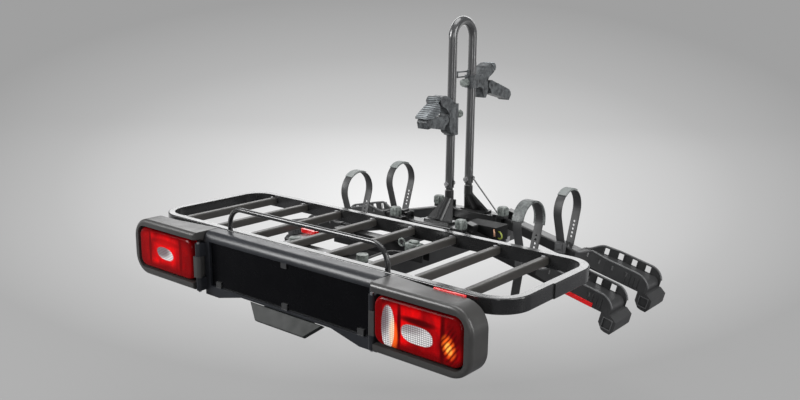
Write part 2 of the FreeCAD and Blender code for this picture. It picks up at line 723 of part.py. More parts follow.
def tray_side():
    """Side view of a tray down to its rim as a prism across it."""
    top = -float(S.fold_up)
    start, end = float(S.tray_start), float(S.arm_long + S.tray_over)
    rim = top + float(S.tray_above)
    nose = float(S.tray_nose)
    low = top - float(S.tray_below) - 1
    bend = nose * (1 - math.sqrt(0.5))
    wide = float(S.tray_half_out) + 5
    foot, head = start + 4, start + 4 + float(S.tray_rise)
    middle = (foot + head) / 2
    ramp = Part.BezierCurve()
    ramp.setPoles([Vector(foot, -wide, top + 3), Vector(middle, -wide, top + 3), Vector(middle, -wide, rim),
                   Vector(head, -wide, rim)])
    corner = Part.Arc(Vector(end - nose, -wide, rim), Vector(end - bend, -wide, rim - bend),
                      Vector(end, -wide, rim - nose))
    spots = [Vector(end, -wide, rim - nose), Vector(end, -wide, low), Vector(start, -wide, low),
             Vector(start, -wide, top + 3), Vector(foot, -wide, top + 3)]
    edges = [corner.toShape()]
    for one, two in zip(spots, spots[1:]):
        edges.append(Part.LineSegment(one, two).toShape())
    edges.append(ramp.toShape())
    edges.append(Part.LineSegment(Vector(head, -wide, rim), Vector(end - nose, -wide, rim)).toShape())
    return Part.Face(Part.Wire(edges)).extrude(Vector(0, 2 * wide, 0))


def tray_floor_side(depth):
    """Side view of what lies under a tray's floor, depth below the floor's upper face, as a prism."""
    top = -float(S.fold_up) + float(S.tray_floor) - depth
    start, bend = float(S.tray_start) - 5, float(S.arm_long) + 1
    radius = float(S.tray_drop) - depth
    low = -float(S.fold_up) - float(S.tray_below) - 5
    wide = float(S.tray_half_out) + 5
    side = radius * math.sqrt(0.5)
    arc = Part.Arc(Vector(bend, -wide, top), Vector(bend + side, -wide, top - radius + side),
                   Vector(bend + radius, -wide, top - radius))
    spots = [Vector(bend + radius, -wide, top - radius), Vector(bend + radius, -wide, low),
             Vector(start, -wide, low), Vector(start, -wide, top), Vector(bend, -wide, top)]
    edges = [arc.toShape()]
    for one, two in zip(spots, spots[1:]):
        edges.append(Part.LineSegment(one, two).toShape())
    return Part.Face(Part.Wire(edges)).extrude(Vector(0, 2 * wide, 0))


def tray_shape(way):
    """Wheel tray in the arm's own frame; way is 1 where the car lies along +y and -1 where it lies along -y."""
    top = -float(S.fold_up)
    wall = float(S.tray_wall)
    start, end = float(S.tray_start), float(S.arm_long + S.tray_over)
    low, high = top - float(S.tray_below), top + float(S.tray_above)
    outer = tray_prism(0, start, end, low, high).common(tray_side())
    inside = tray_prism(wall, start - 1, end + 30, low - 1, high + 5)
    shape = outer.cut(inside.cut(tray_floor_side(0)))
    shape = shape.cut(inside.common(tray_floor_side(float(S.tray_floor))))
    half = float(S.rail_wide) / 2
    shape = shape.cut(block((start - 5, start + 20), (-half, half), (low - 1, top)))
    wide = float(S.tray_half_out) + 5
    for number in range(4):
        middle = float(S.window_first) + number * float(S.window_pitch)
        spans = (middle - float(S.window_long) / 2, middle + float(S.window_long) / 2)
        window = block(spans, sorted((0, way * wide)), (top + float(S.window_low), top + float(S.window_high)))
        shape = shape.cut(window)
        begin = middle - float(S.slot_back)
        spans = (begin, begin + float(S.slot_long))
        slot = block(spans, sorted((0, -way * wide)), (top + float(S.slot_low), top + float(S.slot_high)))
        shape = shape.cut(slot)
    return shape.removeSplitter()


def foot_shape():
    top = -float(S.fold_up)
    start = float(S.arm_long)
    end = start + float(S.foot_long)
    low = top - float(S.foot_deep)
    skirt = top - float(S.tray_below)
    cut_size = float(S.foot_cut)
    outline = [(start, skirt), (start, low + 1.6 * cut_size), (start + cut_size, low + 0.3 * cut_size),
               (start + 2 * cut_size, low), (end - 0.6 * cut_size, low), (end, low + cut_size),
               (end, top - float(S.foot_brow)), (start + float(S.tray_over) + 2, skirt)]
    half = float(S.foot_half)
    shape = slab(outline, "y", -half, half)
    shape = shape.makeFillet(2.5, flat_edges(shape, "z", low))
    rim = float(S.foot_rim)
    for side in (-1, 1):
        depth = sorted((side * (half - float(S.foot_recess)), side * (half + 1)))
        recess = block((start + rim, end - rim), depth, (low + rim, skirt - rim))
        shape = shape.cut(recess.makeFillet(rim / 3, along(recess, "y")))
    return shape


def strap_edges(shift):
    """Loop over the wheel as edges from one foot to the other, moved outwards by shift."""
    top = -float(S.fold_up)
    radius = float(S.strap_loop) - float(S.strap_thick) / 2 + shift
    centre = top + float(S.strap_top) - float(S.strap_loop)
    side = float(S.rail_wide) / 2 + float(S.strap_thick) / 2 + 0.3 + shift
    base = top - float(S.strap_hold)
    lean = math.radians(float(S.strap_lean))
    along_leg = Vector(0, math.sin(lean), math.cos(lean))
    turn = Vector(0, radius * math.cos(lean), centre - radius * math.sin(lean))
    knee = turn - along_leg * ((turn.y - side) / along_leg.y)
    bend = float(S.strap_knee) - shift
    reach = bend * math.tan(lean / 2)
    before = knee + along_leg * reach
    after = Vector(0, side, knee.z - reach)
    middle = Vector(0, side + bend - bend * math.cos(lean / 2), after.z + bend * math.sin(lean / 2))

    def flip(spot):
        return Vector(spot.x, -spot.y, spot.z)

    return [
        Part.LineSegment(Vector(0, side, base), after).toShape(),
        Part.Arc(after, middle, before).toShape(),
        Part.LineSegment(before, turn).toShape(),
        Part.Arc(turn, Vector(0, 0, centre + radius), flip(turn)).toShape(),
        Part.LineSegment(flip(turn), flip(before)).toShape(),
        Part.Arc(flip(before), flip(middle), flip(after)).toShape(),
        Part.LineSegment(flip(after), Vector(0, -side, base)).toShape(),
    ]


def strap_shape():
    """Closed loop over the wheel, in the plane across the arm, with its buckle."""
    top = -float(S.fold_up)
    thick = float(S.strap_thick)
    outer = Part.Wire(strap_edges(thick / 2))
    inner = Part.Wire(strap_edges(-thick / 2))
    side = float(S.rail_wide) / 2 + thick / 2 + 0.3
    base = top - float(S.strap_hold)
    caps = []
    for sign in (-1, 1):
        caps.append(Part.LineSegment(Vector(0, sign * (side - thick / 2), base),
                                     Vector(0, sign * (side + thick / 2), base)).toShape())
    face = Part.Face(Part.Wire(Part.__sortEdges__(outer.Edges + inner.Edges + caps)))
    band = face.extrude(Vector(float(S.strap_wide), 0, 0))
    band.translate(Vector(-float(S.strap_wide) / 2, 0, 0))
    outside = side + thick / 2 - 0.5
    buckle = block((-S.buckle_long / 2, S.buckle_long / 2), (-outside - float(S.buckle_thick), -outside),
                   (top - float(S.buckle_tall) / 2 - 4, top + float(S.buckle_tall) / 2 - 4))
    buckle = buckle.makeFillet(3, along(buckle, "x"))
    shape = band.fuse(buckle)
    shape.rotate(Vector(0, 0, top), Vector(0, 1, 0), -float(S.droop))
    shape.translate(Vector(float(S.strap_at), 0, 0))
    return shape


def arms():
    arm, foot, strap = arm_shape(), foot_shape(), strap_shape()
    trays = {way: tray_shape(way) for way in (-1, 1)}
    for row in ("near", "far"):
        for side, word in ((-1, "left"), (1, "right")):
            shapes = (("arm", arm), ("tray", trays[side]), ("foot", foot), ("wheel_strap", strap))
            for kind, shape in shapes:
                made = feature(shape.copy(), kind.title().replace("_", ""), arm_placement(row, side))
                keep(made, f"{kind}_{row}_{word}")


# Mast with its two feet


def mast_foot(way):
    """Foot of the mast; way is -1 for the near leg and 1 for the far leg."""
    leg_y = float(ahead(S.mast_at)) + way * float(S.mast_half)
    foot_y = float(ahead(S.mast_at)) + way * float(S.foot_splay)
    base_z = float(above(S.member_top) + S.rail_tall)
    plate_top = base_z + float(S.base_thick)
    bend = Vector(0, leg_y, float(above(S.stub_bend)))
    stub_top = float(above(S.stub_top))
    radius = float(S.mast_radius)
    plate = block((-S.base_half_long, S.base_half_long), (foot_y - float(S.base_half_wide),
                  foot_y + float(S.base_half_wide)), (base_z, plate_top))
    plate = plate.makeFillet(6, along(plate, "z"))
    upright = bar(bend, Vector(0, leg_y, stub_top), radius)
    ankle = Part.makeSphere(radius, bend)
    sole = Vector(0, foot_y, plate_top)
    shin = bar(bend, sole + (sole - bend) * 0.08, radius)
    across = Vector(1, 0, 0)
    along_shin = (sole - bend).normalize()
    normal = across.cross(along_shin)
    thick = float(S.flare_thick) / 2
    flare = float(S.flare_half)
    corners = [bend - across * radius, bend + across * radius,
               sole + across * flare + along_shin * 3, sole - across * flare + along_shin * 3]
    corners = [spot - normal * thick for spot in corners]
    wing = Part.Face(Part.makePolygon(corners + [corners[0]])).extrude(normal * (2 * thick))
    body = upright.fuse([ankle, shin, wing])
    floor = block((-200, 200), (foot_y - 200, foot_y + 200), (base_z - 100, base_z + 1))
    body = body.cut(floor).fuse(plate)
    pivot_z = float(above(S.mast_pivot))
    half = float(S.tongue_wide) / 2
    thin = float(S.tongue_thick) / 2
    tongue = block((-half, half), (leg_y - thin, leg_y + thin), (stub_top - 2, pivot_z))
    tongue = tongue.fuse(Part.makeCylinder(half, 2 * thin, Vector(0, leg_y - thin, pivot_z), Vector(0, 1, 0)))
    body = body.fuse(tongue)
    bore = Part.makeCylinder(float(S.mast_bolt_radius + S.pin_gap), 80, Vector(0, leg_y - 40, pivot_z),
                             Vector(0, 1, 0))
    return body.cut(bore).removeSplitter()


def mast():
    keep(feature(mast_foot(-1), "MastFoot"), "mast_foot_near")
    keep(feature(mast_foot(1), "MastFoot"), "mast_foot_far")

    middle = float(ahead(S.mast_at))
    half = float(S.mast_half)
    radius = float(S.mast_radius)
    low = float(above(S.mast_pivot - S.mast_tail))
    high = float(above(S.mast_top)) - radius - half
    path = Part.Wire([
        Part.LineSegment(Vector(0, middle - half, low), Vector(0, middle - half, high)).toShape(),
        Part.Arc(Vector(0, middle - half, high), Vector(0, middle, high + half),
                 Vector(0, middle + half, high)).toShape(),
        Part.LineSegment(Vector(0, middle + half, high), Vector(0, middle + half, low)).toShape(),
    ])
    start = Vector(0, middle - half, low)
    outer = path.makePipeShell([ring_wire(start, Vector(0, 0, 1), radius)], True, False)
    inner = path.makePipeShell([ring_wire(start, Vector(0, 0, 1), radius - float(S.mast_wall))], True, False)
    shape = outer.cut(inner)
    pivot_z = float(above(S.mast_pivot))
    slot = float(S.mast_slot) / 2
    for way in (-1, 1):
        leg_y = middle + way * half
        shape = shape.cut(block((-20, 20), (leg_y - slot, leg_y + slot), (low - 1, pivot_z + 11)))
        shape = shape.cut(Part.makeCylinder(float(S.mast_bolt_radius + S.pin_gap), 80,
                                            Vector(0, leg_y - 40, pivot_z), Vector(0, 1, 0)))
    keep(feature(shape, "MastHoop"), "mast_hoop")

    bolts = []
    for way in (-1, 1):
        leg = ahead(S.mast_at) + way * S.mast_half
        inner_face = leg - way * (S.mast_radius + 0.4)
        outer_face = leg + way * (S.mast_radius + 0.4)
        head_end = inner_face - way * S.bolt_head
        nut_end = outer_face + way * S.bolt_head
        ends = sorted((head_end, inner_face), key=float)
        nuts = sorted((outer_face, nut_end), key=float)
        shank = sorted((inner_face, outer_face), key=float)
        bolts.append(fuse([
            rod("y", S.bolt_head_radius, ends, (0, above(S.mast_pivot))),
            rod("y", S.mast_bolt_radius, shank, (0, above(S.mast_pivot))),
            rod("y", S.bolt_head_radius - 1, nuts, (0, above(S.mast_pivot))),
        ]))
    keep(group(bolts), "mast_bolts")

    nut_y = float(ahead(S.mast_at) + S.mast_half + S.mast_radius + 0.4 + S.bolt_head)
    eye = Vector(0, nut_y + float(S.stay_radius), float(above(S.mast_pivot)))
    lower = Vector(float(S.stay_out), float(rail_middle("far")),
                   float(above(S.member_top) + S.rail_tall) + float(S.stay_radius))
    disc = Part.makeCylinder(6, 2 * float(S.stay_radius), Vector(0, nut_y, eye.z), Vector(0, 1, 0))
    shape = bar(eye, lower, S.stay_radius).fuse(disc)
    seat = Part.makeCylinder(6, 2 * float(S.stay_radius), lower - Vector(0, 0, float(S.stay_radius)),
                             Vector(0, 0, 1))
    keep(feature(shape.fuse(seat), "Stay"), "stay_rod")


# Frame clamps on the mast. Outlines are (out from the leg, above the clamp's middle).

LOWER_CRADLE = [(10, -54), (22, -46), (30, -30), (30, 6), (36, 13), (46, 22), (62, 29), (70, 35), (72, 45),
                (65, 54), (50, 57), (28, 50), (10, 36)]
UPPER_CRADLE = [(10, -13), (30, -16), (40, -46), (50, -46), (57, -32), (58, 4), (64, 12), (76, 18), (88, 26),
                (93, 38), (86, 49), (68, 51), (44, 42), (30, 20), (10, 18)]


def rounded_prism(points, low, high, rounding):
    """Prism across X of a (Y, Z) outline with its corners rounded."""
    shape = slab(points, "x", low, high)
    return shape.makeFillet(rounding, along(shape, "x"))


def clamp(word, way, height, outline, sleeve, hinge, arm):
    """Clamp on one leg; way is -1 on the near leg and 1 on the far leg."""
    leg_y = float(ahead(S.mast_at)) + way * float(S.mast_half)
    z = float(above(height))
    half = float(S.jaw_half)

    def place(out, up):
        return (leg_y + way * float(out), z + float(up))

    body = rounded_prism([place(*spot) for spot in outline], -half, half, 2.5)
    low, high = sleeve
    collar = Part.makeCylinder(float(S.collar_radius), high - low, Vector(0, leg_y, z + low), Vector(0, 0, 1))
    boss = bar(Vector(0, leg_y, z), Vector(0, leg_y - way * (float(S.collar_radius) + 3), z), 8)
    hinge_y, hinge_z = place(hinge, S.hinge_up)
    lug_half = float(S.jaw_lug) / 2
    lug = block((-lug_half, lug_half), sorted((hinge_y, hinge_y - way * 22)), (hinge_z - 10, hinge_z + 10))
    lug = lug.fuse(bar(Vector(-lug_half, hinge_y, hinge_z), Vector(lug_half, hinge_y, hinge_z), 10))
    clear = bar(Vector(-99, hinge_y, hinge_z), Vector(99, hinge_y, hinge_z), S.jaw_hub + 0.6)
    body = body.cut(clear).fuse([collar, boss, lug])
    bore = Part.makeCylinder(float(S.mast_radius) + 0.08, 300, Vector(0, leg_y, z - 150), Vector(0, 0, 1))
    body = body.cut(bore)
    stem_end = leg_y - way * (float(S.mast_radius) + 0.5)
    body = body.cut(bar(Vector(0, leg_y, z), Vector(0, leg_y - way * 60, z), S.knob_stem + S.pin_gap))
    pin = bar(Vector(-half - 2, hinge_y, hinge_z), Vector(half + 2, hinge_y, hinge_z), S.jaw_pin)
    body = body.fuse(pin)
    if word == "upper":
        post_y = leg_y - way * (float(S.collar_radius) - 3)
        tip = post_y - way * float(S.bail_long)
        lift = float(S.bail_half)
        wire_z = z + 24
        post = bar(Vector(0, post_y, z + 9), Vector(0, post_y, wire_z + lift + 4), 4.5)
        cross = bar(Vector(0, tip, wire_z - lift - 2.4), Vector(0, tip, wire_z + lift + 2.4),
                    S.bail_radius + 0.4)
        wires = []
        for sign in (-1, 1):
            wires.append(bar(Vector(0, post_y, wire_z + sign * lift), Vector(0, tip, wire_z + sign * lift),
                             S.bail_radius))
        body = body.fuse([post, cross] + wires)
    keep(feature(body.removeSplitter(), "Cradle"), f"{word}_clamp_cradle")

    face = leg_y - way * (float(S.collar_radius) + 3.2)
    knob_end = face - way * float(S.knob_long)
    knob = bar(Vector(0, face, z), Vector(0, knob_end, z), S.knob_radius)
    knob = knob.makeChamfer(1.5, [e for e in knob.Edges if isinstance(e.Curve, Part.Circle)])
    for number in range(6):
        turn = math.radians(60 * number)
        spot = Vector(14 * math.cos(turn), 0, z + 14 * math.sin(turn))
        groove = Part.makeCylinder(4.5, 60, Vector(spot.x, knob_end - way * 5, spot.z), Vector(0, way, 0))
        knob = knob.cut(groove)
    stem = bar(Vector(0, stem_end, z), Vector(0, face - way * 1, z), S.knob_stem)
    keep(feature(knob.fuse(stem), "Knob"), f"{word}_clamp_knob")

    long, slope = arm
    thick = float(S.arm_thick)
    bar_outline = [(0, 12), (long - 16, 13), (long - 5, 9), (long, 1), (long - 5, 10 - thick),
                   (long - 18, 12 - thick), (8, 2 - thick), (0, -12)]
    turned = []
    for out, up in bar_outline:
        angle = math.radians(-slope)
        turned.append((hinge_y + way * (out * math.cos(angle) - up * math.sin(angle)),
                       hinge_z + out * math.sin(angle) + up * math.cos(angle)))
    jaw = rounded_prism(turned, -half, half, 1.8)
    hub = bar(Vector(-half, hinge_y, hinge_z), Vector(half, hinge_y, hinge_z), S.jaw_hub)
    slot = block((-lug_half - 0.4, lug_half + 0.4), sorted((hinge_y + way * 11, hinge_y - way * 40)),
                 (hinge_z - 40, hinge_z + 40))
    bore = bar(Vector(-99, hinge_y, hinge_z), Vector(99, hinge_y, hinge_z), S.jaw_pin + S.pin_gap)
    keep(feature(jaw.fuse(hub).cut(slot).cut(bore), "Jaw"), f"{word}_clamp_jaw")


# Cargo basket over the frame


def rounded_ring(half, start, deep, corners, low, high):
    """Block with rounded corners in plan; corners are the radii at the rear and at the car."""
    shape = block((-half, half), (start, start + deep), (low, high))
    shape.translate(Vector(float(S.ring_shift), 0, 0))
    rear = [e for e in along(shape, "z") if abs(e.BoundBox.YMin - start) < 1e-4]
    shape = shape.makeFillet(corners[0], rear)
    far = [e for e in along(shape, "z") if abs(e.BoundBox.YMin - start - deep) < 1e-4]
    return shape.makeFillet(corners[1], far)


def basket():
    half = float(S.ring_half)
    start = float(ahead(S.ring_start))
    deep = float(S.ring_deep)
    high = float(above(S.ring_top))
    low = high - float(S.ring_tall)
    wide = float(S.ring_wide)
    wall = float(S.ring_wall)

    def ring_block(inset, drop):
        corners = (float(S.ring_corner) - inset, float(S.ring_corner_far) - inset)
        return rounded_ring(half - inset, start + inset, deep - 2 * inset, corners, low + drop, high - drop)

    def soften(shape):
        return shape.makeFillet(float(S.ring_edge), flat_edges(shape, "z", low) + flat_edges(shape, "z", high))

    hole = ring_block(wide, -1)
    near_half = soften(ring_block(0, 0))
    joint = float(ahead(S.ring_joint))
    sleeve = soften(ring_block(-float(S.ring_sleeve), 0))
    far_half = sleeve.common(block((-2 * half, 2 * half), (joint, start + deep), (low - 1, high + 1)))
    ring = near_half.fuse(far_half).cut(hole)
    hollow = ring_block(wall, wall).cut(ring_block(wide - wall, wall - 1))
    keep(feature(ring.cut(hollow).removeSplitter(), "Ring"), "basket_ring")

    slat_high = above(S.ring_top - S.slat_drop)
    slat_low = slat_high - S.slat_tall
    rear = ahead(S.ring_start + S.ring_wide)
    front = ahead(S.ring_start + S.ring_deep - S.ring_wide)
    slats = []
    screws = []
    for number in range(int(float(S.slat_count))):
        middle = float(S.slat_first + number * S.slat_pitch)
        x = (middle - float(S.slat_wide) / 2, middle + float(S.slat_wide) / 2)
        slats.append(feature(tube_section(x, (rear, front), (slat_low, slat_high), S.slat_wall,
                                          S.slat_edge, "y"), "Slat"))
        for spot in (rear + S.screw_in, front - S.screw_in):
            screws.append(rod("z", S.screw_radius, (slat_high, slat_high + S.screw_head),
                              (S.slat_first + number * S.slat_pitch, spot)))
    keep(group(slats), "basket_slats")
    keep(group(screws), "basket_screws")

    saddle_low = above(S.member_top)
    saddles = []
    wall = S.saddle_wall
    plate_start = ahead(S.saddle_rear) + S.saddle_wide / 2
    for spot in (S.saddle_rear, S.saddle_front):
        middle = ahead(spot)
        y = (middle - S.saddle_wide / 2, middle + S.saddle_wide / 2)
        shell = box((-S.saddle_half, S.saddle_half), y, (saddle_low, slat_low))
        hollow = box((-S.saddle_half - 1, S.saddle_half + 1), (y[0] + wall, y[1] - wall),
                     (saddle_low - 1, slat_low - wall))
        saddle = cut(shell, hollow)
        if spot is S.saddle_rear:
            drills = [rod("z", S.grip_bolt + S.pin_gap, (saddle_low, slat_low + 1), (side * S.grip_at, middle))
                      for side in (-1, 1)]
            saddle = cut(saddle, fuse(drills))
        saddles.append(saddle)
    keep(group(saddles), "basket_saddles")

    plate_low = slat_low - S.catch_plate_thick
    plate = box((S.catch_plate_left, S.catch_plate_right), (plate_start, plate_start + S.catch_plate_long),
                (plate_low, slat_low))
    lip = box((S.catch_plate_left, S.catch_plate_right), (plate_start, plate_start + 4),
              (slat_low - 26, slat_low))
    catch_x = (S.catch_plate_left + S.catch_plate_right) / 2
    catch_y = plate_start + S.catch_plate_long - 20
    stem = rod("z", S.catch_pin, (slat_low - 1, slat_low + S.catch_tall), (catch_x, catch_y))
    keep(fuse([plate, lip, stem]), "catch_plate")

    catch_low = slat_low + 0.2
    catch_high = slat_low + S.catch_tall - 1
    hub = rod("z", S.catch_radius, (catch_low, catch_high), (catch_x, catch_y))
    tab = box((catch_x - S.catch_long, catch_x), (catch_y - S.catch_radius * 0.8, catch_y + S.catch_radius * 0.8),
              (catch_low, catch_high))
    tip = rod("z", S.catch_radius * 0.8, (catch_low, catch_high), (catch_x - S.catch_long, catch_y))
    bore = rod("z", S.catch_pin + S.pin_gap, (catch_low - 1, catch_high + 1), (catch_x, catch_y))
    keep(cut(fuse([hub, tab, tip]), bore), "red_catch")

    member_low = above(S.member_top - S.member_tall)
    member_out = S.member_gap + S.member_wide / 2
    hooks = []
    for side, word in ((-1, "left"), (1, "right")):
        x = side * S.grip_at
        y = ahead(S.saddle_rear)
        top = slat_low + 0.2
        bolt_low = member_low - S.hook_thick - 8
        knob = rod("z", S.grip_radius, (top, top + S.grip_tall), (x, y))
        bolt = rod("z", S.grip_bolt, (bolt_low, top + 1), (x, y))
        keep(fuse([knob, bolt]), f"clamp_knob_{word}")
        span = sorted((side * (member_out - 14), side * (S.grip_at + 10)), key=float)
        hook = box(span, (y - 12, y + 12), (member_low - S.hook_thick, member_low))
        bore = rod("z", S.grip_bolt + S.pin_gap, (member_low - 30, member_low + 1), (x, y))
        hooks.append(cut(hook, bore))
    keep(group(hooks), "clamp_hooks")


def guard_hoop():
    half = float(S.hoop_half)
    y = float(ahead(S.ring_start) + S.ring_wide / 2)
    low = float(above(S.ring_top))
    high = float(above(S.hoop_top)) - float(S.hoop_radius)
    bend = float(S.hoop_bend)
    part = bend * (1 - math.sqrt(0.5))
    path = Part.Wire([
        Part.LineSegment(Vector(-half, y, low), Vector(-half, y, high - bend)).toShape(),
        Part.Arc(Vector(-half, y, high - bend), Vector(-half + part, y, high - part),
                 Vector(-half + bend, y, high)).toShape(),
        Part.LineSegment(Vector(-half + bend, y, high), Vector(half - bend, y, high)).toShape(),
        Part.Arc(Vector(half - bend, y, high), Vector(half - part, y, high - part),
                 Vector(half, y, high - bend)).toShape(),
        Part.LineSegment(Vector(half, y, high - bend), Vector(half, y, low)).toShape(),
    ])
    section = ring_wire(Vector(-half, y, low), Vector(0, 0, 1), S.hoop_radius)
    keep(feature(path.makePipeShell([section], True, False), "Hoop"), "guard_hoop")


# Lighting board


def centre_panel():
    half = float(S.panel_half)
    front = float(ahead(-S.panel_lip))
    back = float(ahead(S.panel_deep))
    top = float(above(S.panel_top))
    foot = float(above(-S.panel_foot))
    waist = float(above(-S.panel_waist))
    notch = float(S.panel_notch)
    run = notch + float(S.panel_slope)
    wall = float(S.panel_wall)
    outline = [(-half, top), (half, top), (half, foot), (run, foot), (notch, waist), (-notch, waist),
               (-run, foot), (-half, foot)]
    shape = slab(outline, "y", front, back)
    brow = [e for e in flat_edges(shape, "y", front) if e.BoundBox.ZMin > top - 1]
    shape = shape.makeFillet(float(S.panel_brow), brow)
    shape = shape.makeFillet(2, [e for e in flat_edges(shape, "y", front) if e.BoundBox.ZMax < waist + 1])
    plate_span = (above(S.plate_mid - S.plate_half_tall), above(S.plate_mid + S.plate_half_tall))
    recess = block((-S.plate_half - S.plate_fit, S.plate_half + S.plate_fit), (front - 5, ahead(0)),
                   (plate_span[0] - S.plate_fit, plate_span[1] + S.plate_fit))
    shape = shape.cut(recess)
    inner = [(-half + wall, top - wall), (half - wall, top - wall), (half - wall, foot + wall),
             (run - 2, foot + wall), (notch - 2, waist + wall), (-notch + 2, waist + wall),
             (-run + 2, foot + wall), (-half + wall, foot + wall)]
    shape = shape.cut(slab(inner, "y", float(ahead(0)) + wall, back + 5))
    mouth = float(S.pedal_top_half) + 5
    pin_y = float(ahead(S.pedal_pin_ahead))
    pin_z = float(above(-S.pedal_pin_below))
    hub = float(S.pedal_hub)
    shape = shape.cut(block((-mouth, mouth), (float(ahead(0)) + wall, back + 5), (waist - 5, pin_z + hub + 2)))
    for side in (-1, 1):
        gap = float(S.pedal_hub_half) + float(S.joint_gap)
        span = sorted((side * gap, side * (gap + float(S.pedal_lug))))
        lug = block(span, (float(ahead(0)) + wall - 1, pin_y + hub), (waist + 0.5, pin_z + hub + 3))
        lug = lug.fuse(block(span, (pin_y - hub, pin_y + hub), (pin_z - hub, waist + 1)))
        shape = shape.fuse(lug)
        pin_x = side * float(S.pin_across)
        hinge_y = float(ahead(-S.pin_front))
        radius = float(S.knuckle_radius)
        for sign in (-1, 1):
            z = sorted((float(above(0)) + sign * (float(S.knuckle_half) + float(S.joint_gap)),
                        float(above(0)) + sign * float(S.knuckle_end)))
            knuckle = Part.makeCylinder(radius, z[1] - z[0], Vector(pin_x, hinge_y, z[0]), Vector(0, 0, 1))
            link = block((pin_x - radius, pin_x + radius), (hinge_y, front + 2), z)
            root = block(sorted((pin_x + side * radius, side * (half - 10))), (front, front + 12), z)
            shape = shape.fuse([knuckle, link, root])
        shape = shape.cut(Part.makeCylinder(float(S.light_pin_radius + S.pin_gap), 300,
                                            Vector(pin_x, hinge_y, float(above(0)) - 150), Vector(0, 0, 1)))
        boss = block(sorted((side * 165.0, side * 205.0)), (float(ahead(0)) + wall - 1, back),
                     (above(S.member_top) - 25, above(S.member_top) - 5))
        shape = shape.fuse(boss)
    shape = shape.cut(Part.makeCylinder(float(S.pedal_pin_radius + S.pin_gap), 4 * half,
                                        Vector(-2 * half, pin_y, pin_z), Vector(1, 0, 0)))
    keep(feature(shape.removeSplitter(), "Panel"), "centre_panel")

    face = ahead(-S.plate_thick)
    keep(box((-S.plate_half, S.plate_half), (face, ahead(0)), plate_span), "number_plate")

    clips = []
    tops = ((0, 1), (-S.plate_half + 26, -1), (S.plate_half - 26, -1), (0, -1))
    for middle, sign in tops:
        edge = above(S.plate_mid + sign * (S.plate_half_tall + S.plate_fit))
        span = sorted((edge, edge - sign * S.clip_tall), key=float)
        clips.append(box((middle - S.clip_half, middle + S.clip_half), (face - S.clip_thick, face), span))
    keep(group(clips), "plate_clips")

    pins = [rod("z", S.light_pin_radius, (above(-S.knuckle_end - 4), above(S.knuckle_end + 4)),
                (side * S.pin_across, ahead(-S.pin_front))) for side in (-1, 1)]
    keep(group(pins), "light_pins")


def light_shell(side):
    """Outer form of a light housing; its back tapers and its top reaches over the hinge."""
    front = float(ahead(-S.light_front))
    back = float(ahead(S.light_back))
    slim = float(ahead(S.light_slim))
    low = float(above(-S.light_foot))
    high = float(above(S.light_top))
    cap, out = side * float(S.light_cap), side * float(S.light_out)
    shape = block(sorted((cap, out)), (front, back), (low, high))
    outer = [e for e in along(shape, "y") if abs(e.BoundBox.XMin - out) < 1e-4]
    shape = shape.makeFillet(float(S.light_corner), outer)
    taper = side * float(S.light_taper)
    spare = slab([(cap - side, back), (taper, slim), (out + side, slim), (out + side, back + 1),
                  (cap - side, back + 1)], "z", low - 1, high + 1)
    shape = shape.cut(spare)
    shape = shape.makeFillet(float(S.light_edge), flat_edges(shape, "y", front))
    step = block(sorted((cap - side, side * float(S.light_in))), (front - 1, back + 1),
                 (low - 1, above(S.light_cap_low)))
    return shape.cut(step)


